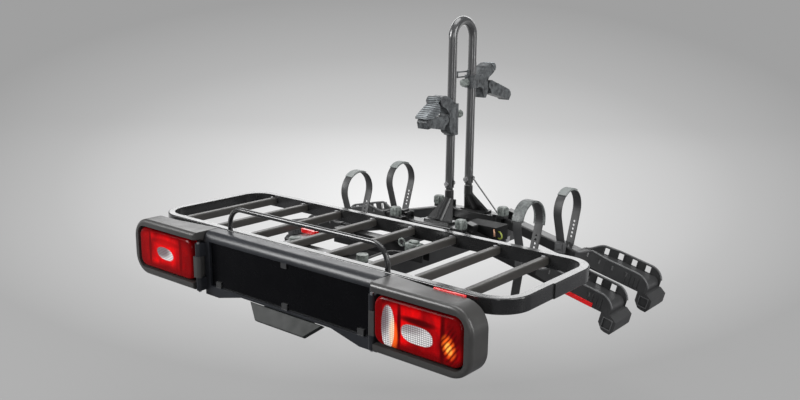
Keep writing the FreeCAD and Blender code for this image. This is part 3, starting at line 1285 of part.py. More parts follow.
def light(side, word):
    """Fold-in light at one end of the board; side is -1 for left and 1 for right."""
    front = float(ahead(-S.light_front))
    inner = side * float(S.light_in)
    lens_front = front + float(S.lens_sink)
    lens_back = lens_front + float(S.lens_deep)
    lens_x = sorted((side * float(S.lens_in), side * float(S.lens_out)))
    lens_z = (float(above(-S.lens_foot)), float(above(S.lens_top)))
    board_back = lens_back + float(S.board_thick)
    gap = float(S.lens_gap)
    pocket_z = (lens_z[0] - gap, lens_z[1] + gap)
    pocket_out = side * (float(S.lens_out) + gap)
    cave_back = float(ahead(S.light_slim - S.light_wall))
    pocket = block(sorted((inner - 30 * side, pocket_out)), (front - 5, board_back + 0.5), pocket_z)
    pocket = pocket.makeFillet(float(S.lens_corner), along(pocket, "y"))
    cave = block(sorted((inner + side * float(S.lens_wall), pocket_out)), (board_back, cave_back), pocket_z)
    cave = cave.makeFillet(float(S.lens_corner), along(cave, "y"))
    shape = light_shell(side).cut(pocket).cut(cave)
    pin_x = side * float(S.pin_across)
    pin_y = float(ahead(-S.pin_front))
    radius = float(S.knuckle_radius)
    z = (float(above(-S.knuckle_half)), float(above(S.knuckle_half)))
    knuckle = Part.makeCylinder(radius, z[1] - z[0], Vector(pin_x, pin_y, z[0]), Vector(0, 0, 1))
    link = block(sorted((pin_x, inner)), (pin_y - radius, pin_y + radius), z)
    heel = block(sorted((pin_x + 2 * side, inner)), (pin_y + radius - 1, board_back + 10), z)
    root = block(sorted((inner - side, inner + 2 * side)), (board_back + 1, board_back + 10), z)
    shape = shape.fuse([knuckle, link, heel, root])
    shape = shape.cut(Part.makeCylinder(float(S.light_pin_radius + S.pin_gap), float(S.light_cap_low + 100),
                                        Vector(pin_x, pin_y, float(above(-100))), Vector(0, 0, 1)))
    keep(feature(shape.removeSplitter(), "LightHousing"), f"light_housing_{word}")

    lens = block(lens_x, (lens_front, lens_back), lens_z)
    lens = lens.makeFillet(float(S.lens_corner), along(lens, "y"))
    lens = lens.makeFillet(float(S.lens_edge), flat_edges(lens, "y", lens_front))
    skin = float(S.lens_wall)
    hollow = block((lens_x[0] + skin, lens_x[1] - skin), (lens_front + skin, lens_back + 1),
                   (lens_z[0] + skin, lens_z[1] - skin))
    hollow = hollow.makeFillet(float(S.lens_corner) - skin, along(hollow, "y"))
    keep(feature(lens.cut(hollow), "Lens"), f"light_lens_{word}")

    board = block(lens_x, (lens_back, board_back), lens_z)
    board = board.makeFillet(float(S.lens_corner), along(board, "y"))
    ribs = []
    for share in (0.2, 0.8):
        middle = lens_x[0] + share * (lens_x[1] - lens_x[0])
        ribs.append(Part.makeCylinder(5, cave_back - board_back, Vector(middle, board_back, sum(lens_z) / 2),
                                      Vector(0, 1, 0)))
    keep(feature(board.fuse(ribs), "LampBoard"), f"lamp_board_{word}")


# Pedal and the rod that it pulls


def pedal():
    pin_y = float(ahead(S.pedal_pin_ahead))
    pin_z = float(above(-S.pedal_pin_below))
    hub = float(S.pedal_hub)
    front = float(ahead(-S.pedal_front))
    back = front + float(S.pedal_thick)
    top = float(above(-S.panel_waist - S.pedal_hang))
    low = float(above(-S.pedal_low))
    wide, narrow = float(S.pedal_top_half), float(S.pedal_low_half)
    lean = math.atan2(float(S.pedal_out), top - low)
    long = math.hypot(float(S.pedal_out), top - low)
    tab = slab([(-wide, top), (wide, top), (narrow, top - long), (-narrow, top - long)], "y", front, back)
    tab = tab.makeFillet(6, [e for e in along(tab, "y") if e.BoundBox.ZMax < top - 1])
    tab = tab.makeFillet(2, flat_edges(tab, "y", front))
    tab.rotate(Vector(0, front, top), Vector(1, 0, 0), -math.degrees(lean))
    half = float(S.pedal_hub_half)
    drum = Part.makeCylinder(hub, 2 * half, Vector(-half, pin_y, pin_z), Vector(1, 0, 0))
    thick = float(S.pedal_thick)
    heel_y = front + thick * math.cos(lean) - 2
    heel_z = top - thick * math.sin(lean)
    web = slab([(heel_y, heel_z), (pin_y - 0.5 * hub, pin_z + 0.5 * hub), (pin_y + 0.3 * hub, pin_z - 0.9 * hub),
                (heel_y - long / 2 * math.sin(lean), heel_z - long / 2 * math.cos(lean))],
               "x", -narrow, narrow)
    arm_half = float(S.pedal_arm_half)
    rod_z = float(above(-S.rod_below))
    arm = block((-arm_half, arm_half), (pin_y - 4, pin_y + 4), (pin_z, rod_z + 10))
    shape = tab.fuse([drum, web, arm])
    shape = shape.cut(Part.makeCylinder(float(S.pedal_pin_radius + S.pin_gap), 4 * half,
                                        Vector(-2 * half, pin_y, pin_z), Vector(1, 0, 0)))
    eye = Part.makeCylinder(float(S.rod_radius) + 3, 40, Vector(0, pin_y - 20, rod_z), Vector(0, 1, 0))
    shape = shape.cut(eye)
    keep(feature(shape.removeSplitter(), "Pedal"), "foot_pedal")

    pin_end = S.pedal_hub_half + S.joint_gap + S.pedal_lug
    keep(rod("x", S.pedal_pin_radius, (-pin_end, pin_end), (ahead(S.pedal_pin_ahead),
                                                            above(-S.pedal_pin_below))), "pedal_pin")

    tip = -S.house_back - S.rod_tip_gap
    head_y = ahead(S.pedal_pin_ahead) - 5
    shaft = rod("y", S.rod_radius, (head_y - 3, tip), (0, above(-S.rod_below)))
    head = box((-S.pedal_arm_half + 0.5, S.pedal_arm_half - 0.5), (head_y - 4, head_y),
               (above(-S.rod_below) - 7.5, above(-S.rod_below) + 7.5))
    keep(fuse([shaft, head]), "release_rod")


# Wiring box beside the near rail


def wiring_box():
    rail_face = ahead(S.rail_near) + S.rail_wide / 2
    start = rail_face + S.box_gap
    x = (S.box_in, S.box_in + S.box_long)
    y = (start, start + S.box_wide)
    z = (above(S.box_low), above(S.box_low) + S.box_tall)
    wall = S.box_wall
    shell = box(x, y, z)
    hollow = box((x[0] + wall, x[1] - wall), (y[0] + wall, y[1] - wall), (z[0] + wall, z[1] - wall))
    pad = box((S.box_in, S.rail_half - 1), (rail_face, start + 1), (z[0] + 8, z[1] - 16))
    keep(fuse([cut(shell, hollow), pad]), "wiring_box")


coupler()
frame()
rails()
arms()
mast()
clamp("lower", -1, S.low_clamp, LOWER_CRADLE, (-54, 32), S.low_hinge, (float(S.low_arm), float(S.low_slope)))
clamp("upper", 1, S.high_clamp, UPPER_CRADLE, (-15, 21), S.high_hinge, (float(S.high_arm), float(S.high_slope)))
basket()
guard_hoop()
centre_panel()
light(-1, "left")
light(1, "right")
pedal()
wiring_box()
doc.recompute()

# Check every object, then write one file for each sub-part
for obj in doc.Objects:
    if "Invalid" in obj.State or "Error" in obj.State:
        raise RuntimeError(f"{obj.Name} {obj.Label} failed: {obj.State}")
labels = [obj.Label for obj in nodes]
if len(set(labels)) != len(labels):
    raise RuntimeError("two sub-parts share a name")
os.makedirs("parts", exist_ok=True)
bad = []
for obj in nodes:
    if obj.Shape.isNull() or not obj.Shape.isValid() or not obj.Shape.Solids:
        bad.append(obj.Label)
if bad:
    raise RuntimeError("no valid solid in " + ", ".join(bad))
for obj in nodes:
    obj.Shape.exportStep(f"parts/{obj.Label}.step")
    print(f"{obj.Label:24s} {len(obj.Shape.Solids)} solids {obj.Shape.Volume / 1000:.1f} cm3")
print(len(nodes), "sub-parts written")
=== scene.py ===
"""Looks of the folding tow-ball bicycle carrier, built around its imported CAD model.

The scene is in metres in the CAD frame: origin at the tow ball, +X right seen from behind the car,
+Y towards the car, +Z up. Small pieces are laid out in millimetres across the rack, ahead of the
number plate's face and above its middle; at() turns them into the frame. Bevels, bands of a material
and light sizes are in metres.
"""

import math

import bmesh
import bpy
from mathutils import Matrix, Vector


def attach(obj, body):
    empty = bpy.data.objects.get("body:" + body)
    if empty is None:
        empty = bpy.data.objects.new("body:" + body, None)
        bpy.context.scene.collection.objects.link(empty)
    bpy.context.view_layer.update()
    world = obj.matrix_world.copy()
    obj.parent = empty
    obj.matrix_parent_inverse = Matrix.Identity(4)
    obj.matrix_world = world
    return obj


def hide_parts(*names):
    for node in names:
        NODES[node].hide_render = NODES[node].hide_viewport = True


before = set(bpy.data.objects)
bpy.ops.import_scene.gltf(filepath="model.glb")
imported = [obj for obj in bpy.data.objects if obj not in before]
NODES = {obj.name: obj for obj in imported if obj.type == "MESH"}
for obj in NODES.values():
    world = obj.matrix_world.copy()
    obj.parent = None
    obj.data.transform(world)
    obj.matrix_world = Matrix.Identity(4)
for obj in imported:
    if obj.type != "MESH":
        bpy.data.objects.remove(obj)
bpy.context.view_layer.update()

# Middle of the number plate's face
FACE_Y = -0.900
MID_Z = 0.055

# Wheel arms: the rails' distance ahead, the fold axes and the arm's upper face below them, in millimetres
ROW_AHEAD = {"near": 565, "far": 768}
SIDE_SIGN = {"left": -1, "right": 1}
ARMS = [f"{row}_{side}" for row in ROW_AHEAD for side in SIDE_SIGN]
ARM_DROOP = math.radians(13.5)
FOLD_ACROSS = 103
FOLD_ABOVE = 58
ARM_TOP = -8

# Camera, fitted to the photograph
CAMERA_AT = Vector((1.3793, -2.1627, 0.6882))
CAMERA_AZIMUTH = math.radians(39.54)
CAMERA_DOWN = math.radians(12.80)
CAMERA_ROLL = math.radians(0.63)
FOCAL_PIXELS = 850.3
IMAGE_WIDTH = 800
SENSOR = 36.0

# Floor height, and how much of what the camera sees of it is its own light
FLOOR_Z = -0.36
FLOOR_GLOW = 0.84

WORLD_STRENGTH = 0.26
# Studio lights: name, place, aim, size in metres and power in watts
LIGHTS = [
    ("overhead", (0.0, -0.2, 3.2), (0, -0.5, 0.1), (3.0, 2.0), 68),
    ("key", (-1.9, -3.0, 1.7), (0, -0.9, 0.05), (1.6, 1.6), 105),
    ("side", (3.2, -0.9, 1.6), (0, -0.5, 0.1), (1.4, 1.8), 36),
    ("strip", (2.9, 0.15, 0.9), (0, -0.3, 0.45), (0.34, 2.6), 26),
    ("near_strip", (2.6, -3.6, 1.0), (0, -0.3, 0.45), (0.30, 2.6), 20),
    ("behind", (-2.9, 3.2, 1.95), (0, -0.5, 0.1), (4.6, 1.8), 60),
]


def add_camera():
    right = Vector((math.cos(CAMERA_AZIMUTH), math.sin(CAMERA_AZIMUTH), 0))
    ahead = Vector((-math.sin(CAMERA_AZIMUTH) * math.cos(CAMERA_DOWN),
                    math.cos(CAMERA_AZIMUTH) * math.cos(CAMERA_DOWN), -math.sin(CAMERA_DOWN)))
    up = right.cross(ahead)
    cosine, sine = math.cos(CAMERA_ROLL), math.sin(CAMERA_ROLL)
    rolled_right = cosine * right + sine * up
    rolled_up = -sine * right + cosine * up
    data = bpy.data.cameras.new("camera")
    data.sensor_width = SENSOR
    data.lens = FOCAL_PIXELS / IMAGE_WIDTH * SENSOR
    data.clip_end = 4000
    camera = bpy.data.objects.new("camera", data)
    camera.matrix_world = Matrix((
        (rolled_right.x, rolled_up.x, -ahead.x, CAMERA_AT.x),
        (rolled_right.y, rolled_up.y, -ahead.y, CAMERA_AT.y),
        (rolled_right.z, rolled_up.z, -ahead.z, CAMERA_AT.z),
        (0, 0, 0, 1),
    ))
    bpy.context.scene.collection.objects.link(camera)
    bpy.context.scene.camera = camera


# Nodes of materials


def new_material(name):
    """Node material with nothing but its output and a principled shader."""
    material = bpy.data.materials.new(name)
    material.use_nodes = True
    tree = material.node_tree
    tree.nodes.clear()
    output = tree.nodes.new("ShaderNodeOutputMaterial")
    shader = tree.nodes.new("ShaderNodeBsdfPrincipled")
    tree.links.new(shader.outputs[0], output.inputs[0])
    return material, tree, shader


def noise(tree, scale, detail=4.0, roughness=0.55, stretch=(1, 1, 1)):
    """Noise in object coordinates; stretch squeezes it along an axis."""
    coordinates = tree.nodes.new("ShaderNodeTexCoord")
    mapping = tree.nodes.new("ShaderNodeMapping")
    mapping.inputs["Scale"].default_value = stretch
    texture = tree.nodes.new("ShaderNodeTexNoise")
    texture.inputs["Scale"].default_value = scale
    texture.inputs["Detail"].default_value = detail
    texture.inputs["Roughness"].default_value = roughness
    tree.links.new(coordinates.outputs["Object"], mapping.inputs["Vector"])
    tree.links.new(mapping.outputs[0], texture.inputs["Vector"])
    return texture.outputs["Fac"]


def ramp(tree, factor, stops):
    """Colour ramp over a factor; stops are (position, colour)."""
    node = tree.nodes.new("ShaderNodeValToRGB")
    elements = node.color_ramp.elements
    while len(elements) < len(stops):
        elements.new(0.5)
    for element, (position, colour) in zip(elements, stops):
        element.position = position
        element.color = (*colour, 1)
    tree.links.new(factor, node.inputs[0])
    return node.outputs[0]


def spread(tree, factor, low, high):
    """Noise or mask stretched so that 0.3 gives low and 0.7 gives high."""
    node = tree.nodes.new("ShaderNodeMapRange")
    node.inputs["From Min"].default_value = 0.3
    node.inputs["From Max"].default_value = 0.7
    node.inputs["To Min"].default_value = low
    node.inputs["To Max"].default_value = high
    tree.links.new(factor, node.inputs[0])
    return node.outputs[0]


def bump(tree, shader, height, strength, distance):
    node = tree.nodes.new("ShaderNodeBump")
    node.inputs["Strength"].default_value = strength
    node.inputs["Distance"].default_value = distance
    tree.links.new(height, node.inputs["Height"])
    tree.links.new(node.outputs[0], shader.inputs["Normal"])


def arithmetic(tree, operation, first, second=0.0, clamp=False):
    """Result of a sum on sockets or numbers."""
    node = tree.nodes.new("ShaderNodeMath")
    node.operation = operation
    node.use_clamp = clamp
    for socket, value in zip(node.inputs, (first, second)):
        if isinstance(value, (int, float)):
            socket.default_value = value
        else:
            tree.links.new(value, socket)
    return node.outputs[0]


def mixed(tree, factor, one, two):
    """Colour one where the factor is 0 and two where it is 1."""
    node = tree.nodes.new("ShaderNodeMix")
    node.data_type = "RGBA"
    for index, value in ((0, factor), (6, one), (7, two)):
        if isinstance(value, tuple):
            node.inputs[index].default_value = (*value, 1)
        else:
            tree.links.new(value, node.inputs[index])
    return node.outputs[2]


def across_and_up(tree):
    """Distance across the rack and above the plate's middle, in millimetres."""
    coordinates = tree.nodes.new("ShaderNodeTexCoord")
    parts = tree.nodes.new("ShaderNodeSeparateXYZ")
    tree.links.new(coordinates.outputs["Object"], parts.inputs[0])
    across = arithmetic(tree, "MULTIPLY", parts.outputs["X"], 1000.0)
    up = arithmetic(tree, "MULTIPLY", arithmetic(tree, "SUBTRACT", parts.outputs["Z"], MID_Z), 1000.0)
    return across, up


def oval(tree, across, up, middle, half, power, edge, lean):
    """Mask of an oval: 1 inside and 0 outside, with a soft edge; lean tips it sideways per millimetre up."""
    x = arithmetic(tree, "SUBTRACT", across, middle[0])
    z = arithmetic(tree, "SUBTRACT", up, middle[1])
    x = arithmetic(tree, "SUBTRACT", x, arithmetic(tree, "MULTIPLY", z, lean))
    x = arithmetic(tree, "POWER", arithmetic(tree, "ABSOLUTE", arithmetic(tree, "DIVIDE", x, half[0])), power)
    z = arithmetic(tree, "POWER", arithmetic(tree, "ABSOLUTE", arithmetic(tree, "DIVIDE", z, half[1])), power)
    far = arithmetic(tree, "ADD", x, z)
    node = tree.nodes.new("ShaderNodeMapRange")
    node.interpolation_type = "SMOOTHSTEP"
    node.inputs["From Min"].default_value = 1 + edge
    node.inputs["From Max"].default_value = 1 - edge
    tree.links.new(far, node.inputs[0])
    return node.outputs[0]


def bands(tree, direction, pitch, turn=0.0, distortion=0.0):
    """Triangular waves with a pitch in metres, along X, Y or Z of the object."""
    coordinates = tree.nodes.new("ShaderNodeTexCoord")
    mapping = tree.nodes.new("ShaderNodeMapping")
    mapping.inputs["Rotation"].default_value = (0, turn, 0)
    wave = tree.nodes.new("ShaderNodeTexWave")
    wave.wave_type = "BANDS"
    wave.bands_direction = direction
    wave.wave_profile = "TRI"
    wave.inputs["Scale"].default_value = math.pi / 10 / pitch
    wave.inputs["Distortion"].default_value = distortion
    wave.inputs["Detail Scale"].default_value = 1.0
    tree.links.new(coordinates.outputs["Object"], mapping.inputs["Vector"])
    tree.links.new(mapping.outputs[0], wave.inputs["Vector"])
    return wave.outputs["Fac"]


# Surfaces


def finish_material(name, dark, light, rough, grain, depth, metal=0.0, coat=0.0, coat_rough=0.1,
                    specular=0.5):
    """Plain surface with cloudy colour, uneven gloss and a fine grain.

    rough is the lowest and highest roughness, grain the scale of the fine bumps and depth their height.
    """
    material, tree, shader = new_material(name)
    clouds = noise(tree, 9.0, 5.0)
    tree.links.new(ramp(tree, clouds, [(0.32, dark), (0.68, light)]), shader.inputs["Base Color"])
    smears = noise(tree, 22.0, 6.0, 0.6)
    tree.links.new(spread(tree, smears, *rough), shader.inputs["Roughness"])
    bump(tree, shader, noise(tree, grain, 3.0, 0.5), 0.2, depth)
    shader.inputs["Metallic"].default_value = metal
    shader.inputs["Coat Weight"].default_value = coat
    shader.inputs["Coat Roughness"].default_value = coat_rough
    shader.inputs["Specular IOR Level"].default_value = specular
    return material


def mottled_material(name, dark, light):
    """Moulded plastic with worn light patches between dark ones."""
    material, tree, shader = new_material(name)
    patches = noise(tree, 75.0, 6.0, 0.7)
    tree.links.new(ramp(tree, patches, [(0.36, dark), (0.64, light)]), shader.inputs["Base Color"])
    tree.links.new(spread(tree, noise(tree, 60.0), 0.35, 0.55), shader.inputs["Roughness"])
    bump(tree, shader, patches, 0.5, 0.0012)
    return material


def ribbed_material(name, dark, light, pitch):
    """Rubber with ribs stacked upwards: painted highlights on the ribs, painted shade in the grooves, darker
    worn patches.
    """
    material, tree, shader = new_material(name)
    ribs = bands(tree, "Z", pitch, 0.0, 1.5)
    # Painted highlight on each rib and painted shade in each groove
    colour = ramp(tree, ribs, [(0.15, dark), (0.75, light)])
    worn = spread(tree, noise(tree, 45.0, 4.0), 0.0, 0.8)
    tree.links.new(mixed(tree, worn, colour, dark), shader.inputs["Base Color"])
    tree.links.new(spread(tree, noise(tree, 60.0), 0.4, 0.6), shader.inputs["Roughness"])
    bump(tree, shader, ribs, 0.5, 0.0008)
    return material


# Light lenses

LENS_DARK = (0.070, 0.0005, 0.0010)
LENS_DEEP = (0.15, 0.0006, 0.0014)
LENS_RED = (0.38, 0.0016, 0.0032)
LENS_BRIGHT = (0.78, 0.002, 0.003)
LENS_GLOW = (1.0, 0.13, 0.01)
LENS_GLOW_CORE = (1.0, 0.62, 0.10)
LENS_WARM = (1.0, 0.60, 0.30)
PRISM_LIGHT = (0.92, 0.91, 0.90)
PRISM_GREY = (0.56, 0.54, 0.54)
PRISM_DARK = (0.22, 0.21, 0.22)
PRISM_SHADE = (0.11, 0.06, 0.07)
# Marks on the lenses: middle and half size in millimetres, and how deep the shade is
RIGHT_BARS = (((474, 14), (6, 70)), ((366, 16), (5, 52)), ((411, 34), (44, 7)))
LEFT_BARS = (((-346, 14), (6, 74)), ((-474, 14), (5, 52)), ((-410, 40), (50, 8)))
LEFT_SHADES = (((-496, 6), (40, 62), 0.8), ((-330, 14), (34, 66), 0.7), ((-392, -34), (90, 20), 0.5))
LENS_MIDDLE = 413


class LensPaint:
    """Colour of a lens, painted over in soft ovals that are placed in millimetres on the light board."""

    def __init__(self, tree, colour):
        self.tree = tree
        self.colour = colour
        self.across, self.up = across_and_up(tree)

    def mask(self, middle, half, power=2.0, edge=0.9, lean=0.0):
        return oval(self.tree, self.across, self.up, middle, half, power, edge, lean)

    def lay(self, mask, paint, share=1.0):
        """Lay a paint over the colour where the mask is 1; a share below 1 thins it."""
        if share < 1:
            mask = arithmetic(self.tree, "MULTIPLY", mask, share)
        self.colour = mixed(self.tree, mask, self.colour, paint)


def paint_right_lens(paint, clear, shaded_prisms):
    """Dark bars, a tall and a wide clear window and a striped amber lamp, with painted shade and glow."""
    tree = paint.tree
    # Painted shade at the inner end of the lens
    paint.lay(paint.mask((309, 14), (13, 58), 4.0, 0.5), LENS_DEEP)
    for middle, half in RIGHT_BARS:
        paint.lay(paint.mask(middle, half), LENS_DARK)
    # Painted shade at the upper outer corner
    paint.lay(paint.mask((497, 44), (18, 20)), LENS_DEEP)

    # Painted light in the amber lamp: glowing diagonal streaks with a brighter core, dark between them
    stripes = bands(tree, "X", 0.0085, math.radians(-38), 3.0)
    gaps = arithmetic(tree, "SUBTRACT", 1.0, stripes)
    paint.lay(arithmetic(tree, "MULTIPLY", paint.mask((494, 4), (19, 40), 2.0, 0.6), gaps), LENS_DARK)
    glow_streaks = arithmetic(tree, "MULTIPLY", paint.mask((489, 2), (14, 20), 2.0, 0.95, -0.2), stripes)
    paint.lay(arithmetic(tree, "MULTIPLY", glow_streaks, 1.3, True), LENS_GLOW)
    core = arithmetic(tree, "MULTIPLY", paint.mask((489, 0), (8, 11), 2.0, 0.95, -0.2), stripes)
    paint.lay(core, LENS_GLOW_CORE)

    # Painted glow by the tall window, then a painted warm glow and painted shade in the windows
    paint.lay(paint.mask((353, -10), (9, 26), 2.0, 0.95), LENS_GLOW, 0.8)
    tall = mixed(tree, paint.mask((324, 26), (16, 40)), clear, shaded_prisms)
    warm_glow = arithmetic(tree, "MULTIPLY", paint.mask((354, -4), (12, 34), 2.0, 0.95), 0.6)
    paint.lay(paint.mask((337, 6), (17, 45), 2.2, 0.12), mixed(tree, warm_glow, tall, LENS_WARM))
    shade = arithmetic(tree, "MULTIPLY", paint.mask((386, 20), (38, 14), 2.0, 0.95), 0.7)
    paint.lay(paint.mask((411, 6), (39, 19), 2.6, 0.12, -0.10), mixed(tree, shade, clear, shaded_prisms))


def paint_left_lens(paint, clear, shaded_prisms):
    """Dark bars, painted light in the middle and painted shade at the ends, round one clear window."""
    for middle, half in LEFT_BARS:
        paint.lay(paint.mask(middle, half), LENS_DARK)
    # Painted light in the middle of the lens, then painted shade at its ends and bottom
    paint.lay(paint.mask((-405, 20), (52, 34), 2.0, 0.8), LENS_BRIGHT, 0.5)
    for middle, half, share in LEFT_SHADES:
        paint.lay(paint.mask(middle, half), LENS_DEEP, share)
    # Painted shade at the upper left of the clear window
    window = mixed(paint.tree, paint.mask((-428, 19), (36, 19), 2.0, 0.7), clear, shaded_prisms)
    paint.lay(paint.mask((-411, 11), (33, 16), 2.2, 0.2, -0.3), window)


def lens_material(name, side):
    """Deep red glossy lens with fine prisms, painted shade and painted light; side is -1 left and 1 right."""
    material, tree, shader = new_material(name)
    cloud = noise(tree, 14.0, 3.0, 0.55, (1.2, 1, 0.7))
    paint = LensPaint(tree, ramp(tree, cloud, [(0.30, LENS_DEEP), (0.46, LENS_RED), (0.60, LENS_BRIGHT)]))
    # Painted shade: the lens darkens towards its borders and along its bottom
    body = paint.mask((side * LENS_MIDDLE - 1, 12), (101, 46), 4.0, 0.75)
    paint.colour = mixed(tree, body, LENS_DARK, paint.colour)
    paint.lay(paint.mask((side * 410, -46), (200, 26), 2.0, 0.6), LENS_DEEP)
    fine = arithmetic(tree, "MULTIPLY", bands(tree, "X", 0.0046), bands(tree, "Z", 0.0042))
    clear = ramp(tree, fine, [(0.0, PRISM_DARK), (0.28, PRISM_GREY), (0.62, PRISM_LIGHT)])
    # Painted shade: darker prisms for the shaded parts of the clear windows
    shaded_prisms = ramp(tree, fine, [(0.0, PRISM_SHADE), (0.5, PRISM_DARK)])
    if side > 0:
        paint_right_lens(paint, clear, shaded_prisms)
    else:
        paint_left_lens(paint, clear, shaded_prisms)
    tree.links.new(paint.colour, shader.inputs["Base Color"])
    # Painted light: the lens glows faintly in its own painted colours
    tree.links.new(paint.colour, shader.inputs["Emission Color"])
    shader.inputs["Emission Strength"].default_value = 0.16
    shader.inputs["Specular IOR Level"].default_value = 0.04
    tree.links.new(spread(tree, noise(tree, 40.0, 3.0), 0.14, 0.26), shader.inputs["Roughness"])
    prisms = arithmetic(tree, "MULTIPLY", bands(tree, "X", 0.0065), bands(tree, "Z", 0.0065))
    bump(tree, shader, prisms, 0.35, 0.0007)

    # The clear coat fades out at the upper edge
    edge = paint.mask((side * LENS_MIDDLE, 70), (86, 16), 4.0, 0.4)
    bare = arithmetic(tree, "ADD", 0.3, arithmetic(tree, "MULTIPLY", edge, 0.4))
    tree.links.new(spread(tree, bare, 0.17, 0.0), shader.inputs["Coat Weight"])
    shader.inputs["Coat Roughness"].default_value = 0.08
    return material


# All materials, by kind


def grey(value):
    """Dark grey with a trace of blue."""
    return (value, value * 1.01, value * 1.03)


def make_materials():
    return {
        "paint": finish_material("black_powder_coat", grey(0.010), grey(0.018), (0.28, 0.40), 900, 0.00006,
                                 coat=0.35, coat_rough=0.14, specular=0.4),
        "mast": finish_material("mast_powder_coat", grey(0.050), grey(0.066), (0.20, 0.28), 900, 0.00003,
                                coat=0.9, coat_rough=0.10),
        "ring": finish_material("ring_powder_coat", grey(0.011), grey(0.018), (0.22, 0.32), 900, 0.00006,
                                coat=0.6, coat_rough=0.12),
        "slat": finish_material("slat_powder_coat", (0.034, 0.032, 0.029), (0.052, 0.049, 0.045),
                                (0.34, 0.48), 900, 0.00008, coat=0.15, coat_rough=0.3),
        "steel": finish_material("zinc_steel", (0.42, 0.42, 0.43), (0.56, 0.56, 0.57), (0.25, 0.42), 500,
                                 0.00005, metal=1.0),
        "coupler": finish_material("coupler_paint", grey(0.028), grey(0.040), (0.35, 0.5), 300, 0.0001,
                                   coat=0.1),
        "tray": finish_material("tray_plastic", grey(0.026), grey(0.042), (0.34, 0.50), 1400, 0.00008),
        "foot": finish_material("foot_rubber", grey(0.026), grey(0.038), (0.42, 0.58), 1100, 0.0001),
        "housing": finish_material("housing_plastic", (0.036, 0.035, 0.034), (0.048, 0.047, 0.045),
                                   (0.32, 0.46), 700, 0.00004, coat=0.2, coat_rough=0.14),
        "panel": finish_material("panel_plastic", (0.012, 0.013, 0.016), (0.018, 0.020, 0.024),
                                 (0.34, 0.44), 700, 0.00003, coat=0.2, coat_rough=0.2, specular=0.4),
        "plate": finish_material("plate_blank", (0.0016, 0.0017, 0.0022), (0.0026, 0.0027, 0.0034),
                                 (0.22, 0.30), 1200, 0.00001, specular=0.16),
        "clip": finish_material("clip_plastic", grey(0.030), grey(0.040), (0.32, 0.42), 1200, 0.00004,
                                coat=0.2, coat_rough=0.2),
        "pedal": finish_material("pedal_plastic", (0.011, 0.013, 0.012), (0.020, 0.022, 0.021),
                                 (0.46, 0.60), 900, 0.0001, specular=0.25),
        "rubber": finish_material("strap_rubber", grey(0.026), grey(0.042), (0.42, 0.58), 800, 0.0001),
        "pad": finish_material("strap_pad", (0.17, 0.185, 0.18), (0.24, 0.255, 0.25), (0.5, 0.7), 500,
                               0.0002),
        "clamp": mottled_material("clamp_plastic", (0.008, 0.009, 0.011), (0.120, 0.130, 0.135)),
        "rib": ribbed_material("clamp_rubber", (0.016, 0.018, 0.021), (0.34, 0.37, 0.385), 0.0046),
        "knob": mottled_material("knob_plastic", (0.035, 0.040, 0.038), (0.26, 0.29, 0.27)),
        "box": finish_material("box_plastic", grey(0.007), grey(0.013), (0.5, 0.65), 700, 0.0001,
                               specular=0.2),
        "worn": mottled_material("worn_pad", (0.022, 0.025, 0.026), (0.17, 0.185, 0.18)),
        "buckle": finish_material("buckle_plastic", grey(0.060), grey(0.090), (0.4, 0.55), 500, 0.0001),
        # Lighter copy of the tray plastic: a painted highlight on the tray rims; the foot frames and slat
        # brackets use it too
        "rim": finish_material("tray_rim", grey(0.085), grey(0.110), (0.34, 0.46), 900, 0.00005),
        "reflector": finish_material("red_reflector", (0.66, 0.004, 0.006), (0.80, 0.008, 0.010),
                                     (0.12, 0.2), 900, 0.00006, coat=0.6),
        "red": finish_material("red_plastic", (0.62, 0.006, 0.008), (0.78, 0.012, 0.012), (0.2, 0.32), 700,
                               0.00003, coat=0.4),
        "amber": finish_material("amber_sheath", (0.40, 0.21, 0.13), (0.56, 0.32, 0.20), (0.35, 0.5), 700,
                                 0.00003),
        "green": finish_material("green_sheath", (0.20, 0.24, 0.03), (0.32, 0.38, 0.06), (0.35, 0.5), 700,
                                 0.00003),
        "lens_right": lens_material("red_lens_right", 1),
        "lens_left": lens_material("red_lens_left", -1),
    }


# Nodes of the CAD model that aren't in the frame's black paint
MATERIAL_OF = {
    "steel": ["coupler_pins", "fold_pins", "mast_bolts", "basket_screws", "light_pins", "pedal_pin",
              "release_rod"],
    "coupler": ["coupler_housing", "coupler_lever"],
    "mast": ["mast_hoop", "stay_rod"],
    "ring": ["basket_ring", "guard_hoop"],
    "slat": ["basket_slats"],
    "housing": ["light_housing_left", "light_housing_right"],
    "panel": ["centre_panel"],
    "plate": ["number_plate"],
    "pedal": ["foot_pedal"],
    "clamp": ["lower_clamp_cradle", "upper_clamp_cradle", "lower_clamp_jaw", "upper_clamp_jaw"],
    "clip": ["plate_clips"],
    "knob": ["lower_clamp_knob", "upper_clamp_knob", "clamp_knob_left", "clamp_knob_right"],
    "red": ["red_catch", "lamp_board_left", "lamp_board_right"],
    "box": ["wiring_box"],
    "lens_right": ["light_lens_right"],
    "lens_left": ["light_lens_left"],
    "tray": [f"tray_{arm}" for arm in ARMS],
    "foot": [f"foot_{arm}" for arm in ARMS],
    "rubber": [f"wheel_strap_{arm}" for arm in ARMS],
}


def dress_nodes():
    """Give every CAD node the one material of its kind."""
    chosen = {name: kind for kind, names in MATERIAL_OF.items() for name in names}
    for name, node in NODES.items():
        node.data.materials.clear()
        node.data.materials.append(MATERIALS[chosen.get(name, "paint")])


# Helpers for pieces


def at(x, ahead, above):
    """Point in metres from millimetres across, ahead of the plate's face and above its middle."""
    return Vector((x / 1000, FACE_Y + ahead / 1000, MID_Z + above / 1000))


def mm(*values):
    """Vector in metres from millimetres."""
    return Vector(values) / 1000


